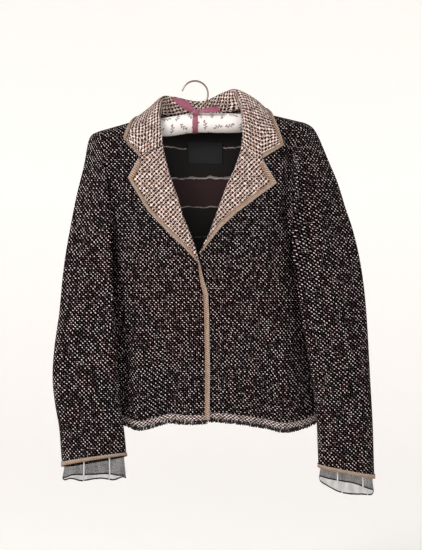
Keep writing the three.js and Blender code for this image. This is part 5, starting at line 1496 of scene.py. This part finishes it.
BAR_SIDES, BAR_GIRTH = 96, 108
near_start = [0.15, 0.5, 1.2, 2.4, 4, 6, 8.5, 12]
near_end = [348, 351.5, 354, 356, 357.6, 358.8, 359.5, 359.85]
x = (np.concatenate([near_start, np.linspace(16, 344, 200), near_end]) + BAR["start"])[:, None]
angle = np.linspace(0, 2 * math.pi, BAR_SIDES, endpoint=False)[None]
uv = np.stack(np.broadcast_arrays(x, np.linspace(0, BAR_GIRTH, BAR_SIDES + 1)[None]), axis=2)
bar = loft("hanger_bar_padded", bar_points(x, angle), print_material(), uv)
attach(bar, "root")
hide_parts("hanger_bar")


# ---------------------------------------------------------------- Hook
# Plated steel wire is bent into a round hook with a short shank, and screwed into the middle of the bar.
# Its free end is rounded off.
HOOK = {"wire": 1.7, "radius": 24.0, "tip": 165, "neck": -48, "shank_x": 9.5}


def steel_material():
    material, shader, start = new_material("hook_wire", 0.28, metallic=1.0)
    shader.inputs["Base Color"].default_value = color(148, 138, 124)
    return material


arc = np.radians(np.linspace(HOOK["tip"], HOOK["neck"], 61))
centre_z = HOOK["wire"] - HOOK["radius"]
ring = np.stack([HOOK["radius"] * np.cos(arc), 0 * arc, centre_z + HOOK["radius"] * np.sin(arc)], axis=1)
foot_z = float(bar_top(np.array(HOOK["shank_x"]))) + CONTACT_GAP
control = np.array([ring[-1], (11.6, 0, -45), (HOOK["shank_x"], 0, -49.5), (HOOK["shank_x"], 0, foot_z)])
share = np.linspace(0, 1, 12)[1:, None]
bends = [spline(*(control[np.clip(i + k, 0, 3)] for k in (-1, 0, 1, 2)), share) for i in range(3)]
path = np.concatenate([ring, *bends])
along = np.gradient(path, axis=0)
along /= np.linalg.norm(along, axis=1, keepdims=True)
beside = np.stack([along[:, 2], 0 * along[:, 0], -along[:, 0]], axis=1)
angle = np.linspace(0, 2 * math.pi, 20, endpoint=False)[None, :, None]
tip = np.array([(0.75, 0.35), (0.45, 0.75), (0.15, 0.95)])
wire = np.full(len(path), HOOK["wire"])
centres = np.concatenate([path[:1] - along[:1] * tip[:, :1] * HOOK["wire"], path])
wire = np.concatenate([tip[:, 1] * HOOK["wire"], wire])
beside = np.concatenate([np.repeat(beside[:1], 3, axis=0), beside])
round_wire = beside[:, None] * np.cos(angle) + np.array((0, 1, 0)) * np.sin(angle)
sections = centres[:, None] + wire[:, None, None] * round_wire
run, girth = np.arange(len(centres))[:, None] * 1.5, np.linspace(0, 10.7, 21)[None]
uv = np.stack(np.broadcast_arrays(run, girth), axis=2)
hook = loft("hanger_hook_wire", sections, steel_material(), uv)
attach(hook, "root")
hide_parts("hanger_hook")


# ---------------------------------------------------------------- Ribbon
# A mauve satin ribbon is wrapped once round the middle of the bar and tied over it in a small bow, one end
# up to the right side and one flat to the left.
SATIN, BOW_SATIN = 1.0, 0.6
WRAP = {"x": 0.5, "half_width": 5, "pinch": 0.9, "pinch_at": 0.75, "pinch_spread": 0.5}
KNOT = {"x": 2, "y": -15.8, "z": -58, "half_long": 5.6, "deep": 3.2, "high": 5}


def satin_material():
    material, shader, start = new_material("mauve_satin", 0.32)
    shader.inputs["Specular IOR Level"].default_value = 0.5
    u, v = uv_axes(start)
    thread = (u * (2 * math.pi / 0.55)).sine() * 0.5 + 0.5
    soft = noise(start, u, v, 6, 2.0, seed=3.0)
    tone = thread * 0.3 + soft * 0.7
    plug(shader, "Base Color", tone.blend(color(118, 52, 74), color(160, 92, 114)))
    bumped(shader, start, soft + thread * 0.1, 0.5)
    return material


MAUVE_SATIN = satin_material()
s = np.linspace(-1, 1, 13)[:, None]
angle = np.linspace(0, 2 * math.pi, BAR_SIDES, endpoint=False)[None]
from_knot = np.mod(angle + math.pi, 2 * math.pi) - math.pi + WRAP["pinch_at"]
half_width = WRAP["half_width"] - WRAP["pinch"] * np.exp(-(from_knot / WRAP["pinch_spread"]) ** 2)
bulge = 0.25 * (1 - s ** 2) + 0.12 * np.sin(9 * s + 3 * np.sin(angle))
points = bar_points(WRAP["x"] + s * half_width, angle, bulge)
girth = np.linspace(0, BAR_GIRTH, BAR_SIDES + 1)[None]
uv = np.stack(np.broadcast_arrays(s * WRAP["half_width"], girth), axis=2)
wrap = wall("ribbon_wrap_satin", points, SATIN, MAUVE_SATIN, uv, ring=True, facing=-1,
            lift=CONTACT_GAP + SATIN)
sew(wrap, "ribbon_wrap")

x = np.linspace(-5.55, 5.55, 25)[:, None]
size = bow(np.clip(x / KNOT["half_long"], -1, 1), 2.6)
angle = np.linspace(0, 2 * math.pi, 48, endpoint=False)[None]
crease = 1 - 0.07 * np.cos(5 * angle + 0.5 * x) - 0.05 * np.cos(9 * angle - 0.4 * x)
knot_y = KNOT["y"] + KNOT["deep"] * size * crease * np.sin(angle)
knot_z = KNOT["z"] + KNOT["high"] * size * crease * np.cos(angle)
sections = np.stack(np.broadcast_arrays(KNOT["x"] + x, knot_y, knot_z), axis=2)
uv = np.stack(np.broadcast_arrays(np.linspace(0, 26, 49)[None], x), axis=2)
knot = loft("ribbon_knot_satin", sections, MAUVE_SATIN, uv)
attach(knot, "root")
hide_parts("ribbon_knot")

BOW_ENDS = {
    "right": table(
        "x y z width tilt",
        (-3.5, -16.3, -56, 7, 20), (-12, -19, -49, 14, 28), (-26, -19, -40, 13, 34),
        (-40, -17, -33.5, 5, 40),
    ),
    "left": table(
        "x y z width tilt",
        (7.8, -16.3, -57, 6, 0), (18, -20, -55.5, 8, -6), (32, -20, -54, 10, -12),
        (44, -18, -52, 10, -14),
    ),
}
for side, facing in (("right", 1), ("left", -1)):
    at = np.linspace(0, 3, 49)
    get = {column: read_row(BOW_ENDS[side], at, column) for column in BOW_ENDS[side]}
    lean = np.radians(get["tilt"])
    across = np.stack([np.sin(lean), np.full(at.size, 0.25), np.cos(lean)], axis=1)[:, None]
    s = np.linspace(-1, 1, 15)[None]
    middle = np.stack([get["x"], get["y"], get["z"]], axis=1)[:, None]
    off_middle, at = s * get["width"][:, None] / 2, at[:, None]
    ripple = 0.7 * np.cos(3.4 * s + 0.8) * (1 - at / 3.4) + 0.45 * np.sin(2.2 * at + 2 * s)
    points = middle + across * off_middle[..., None]
    points = points + np.array((0, 1, 0)) * ripple[..., None]
    uv = np.stack(np.broadcast_arrays(off_middle, at * 14), axis=2)
    end = wall(f"ribbon_bow_{side}_satin", points, BOW_SATIN, MAUVE_SATIN, uv, facing=facing)
    sew(end, "ribbon_bow_" + side)
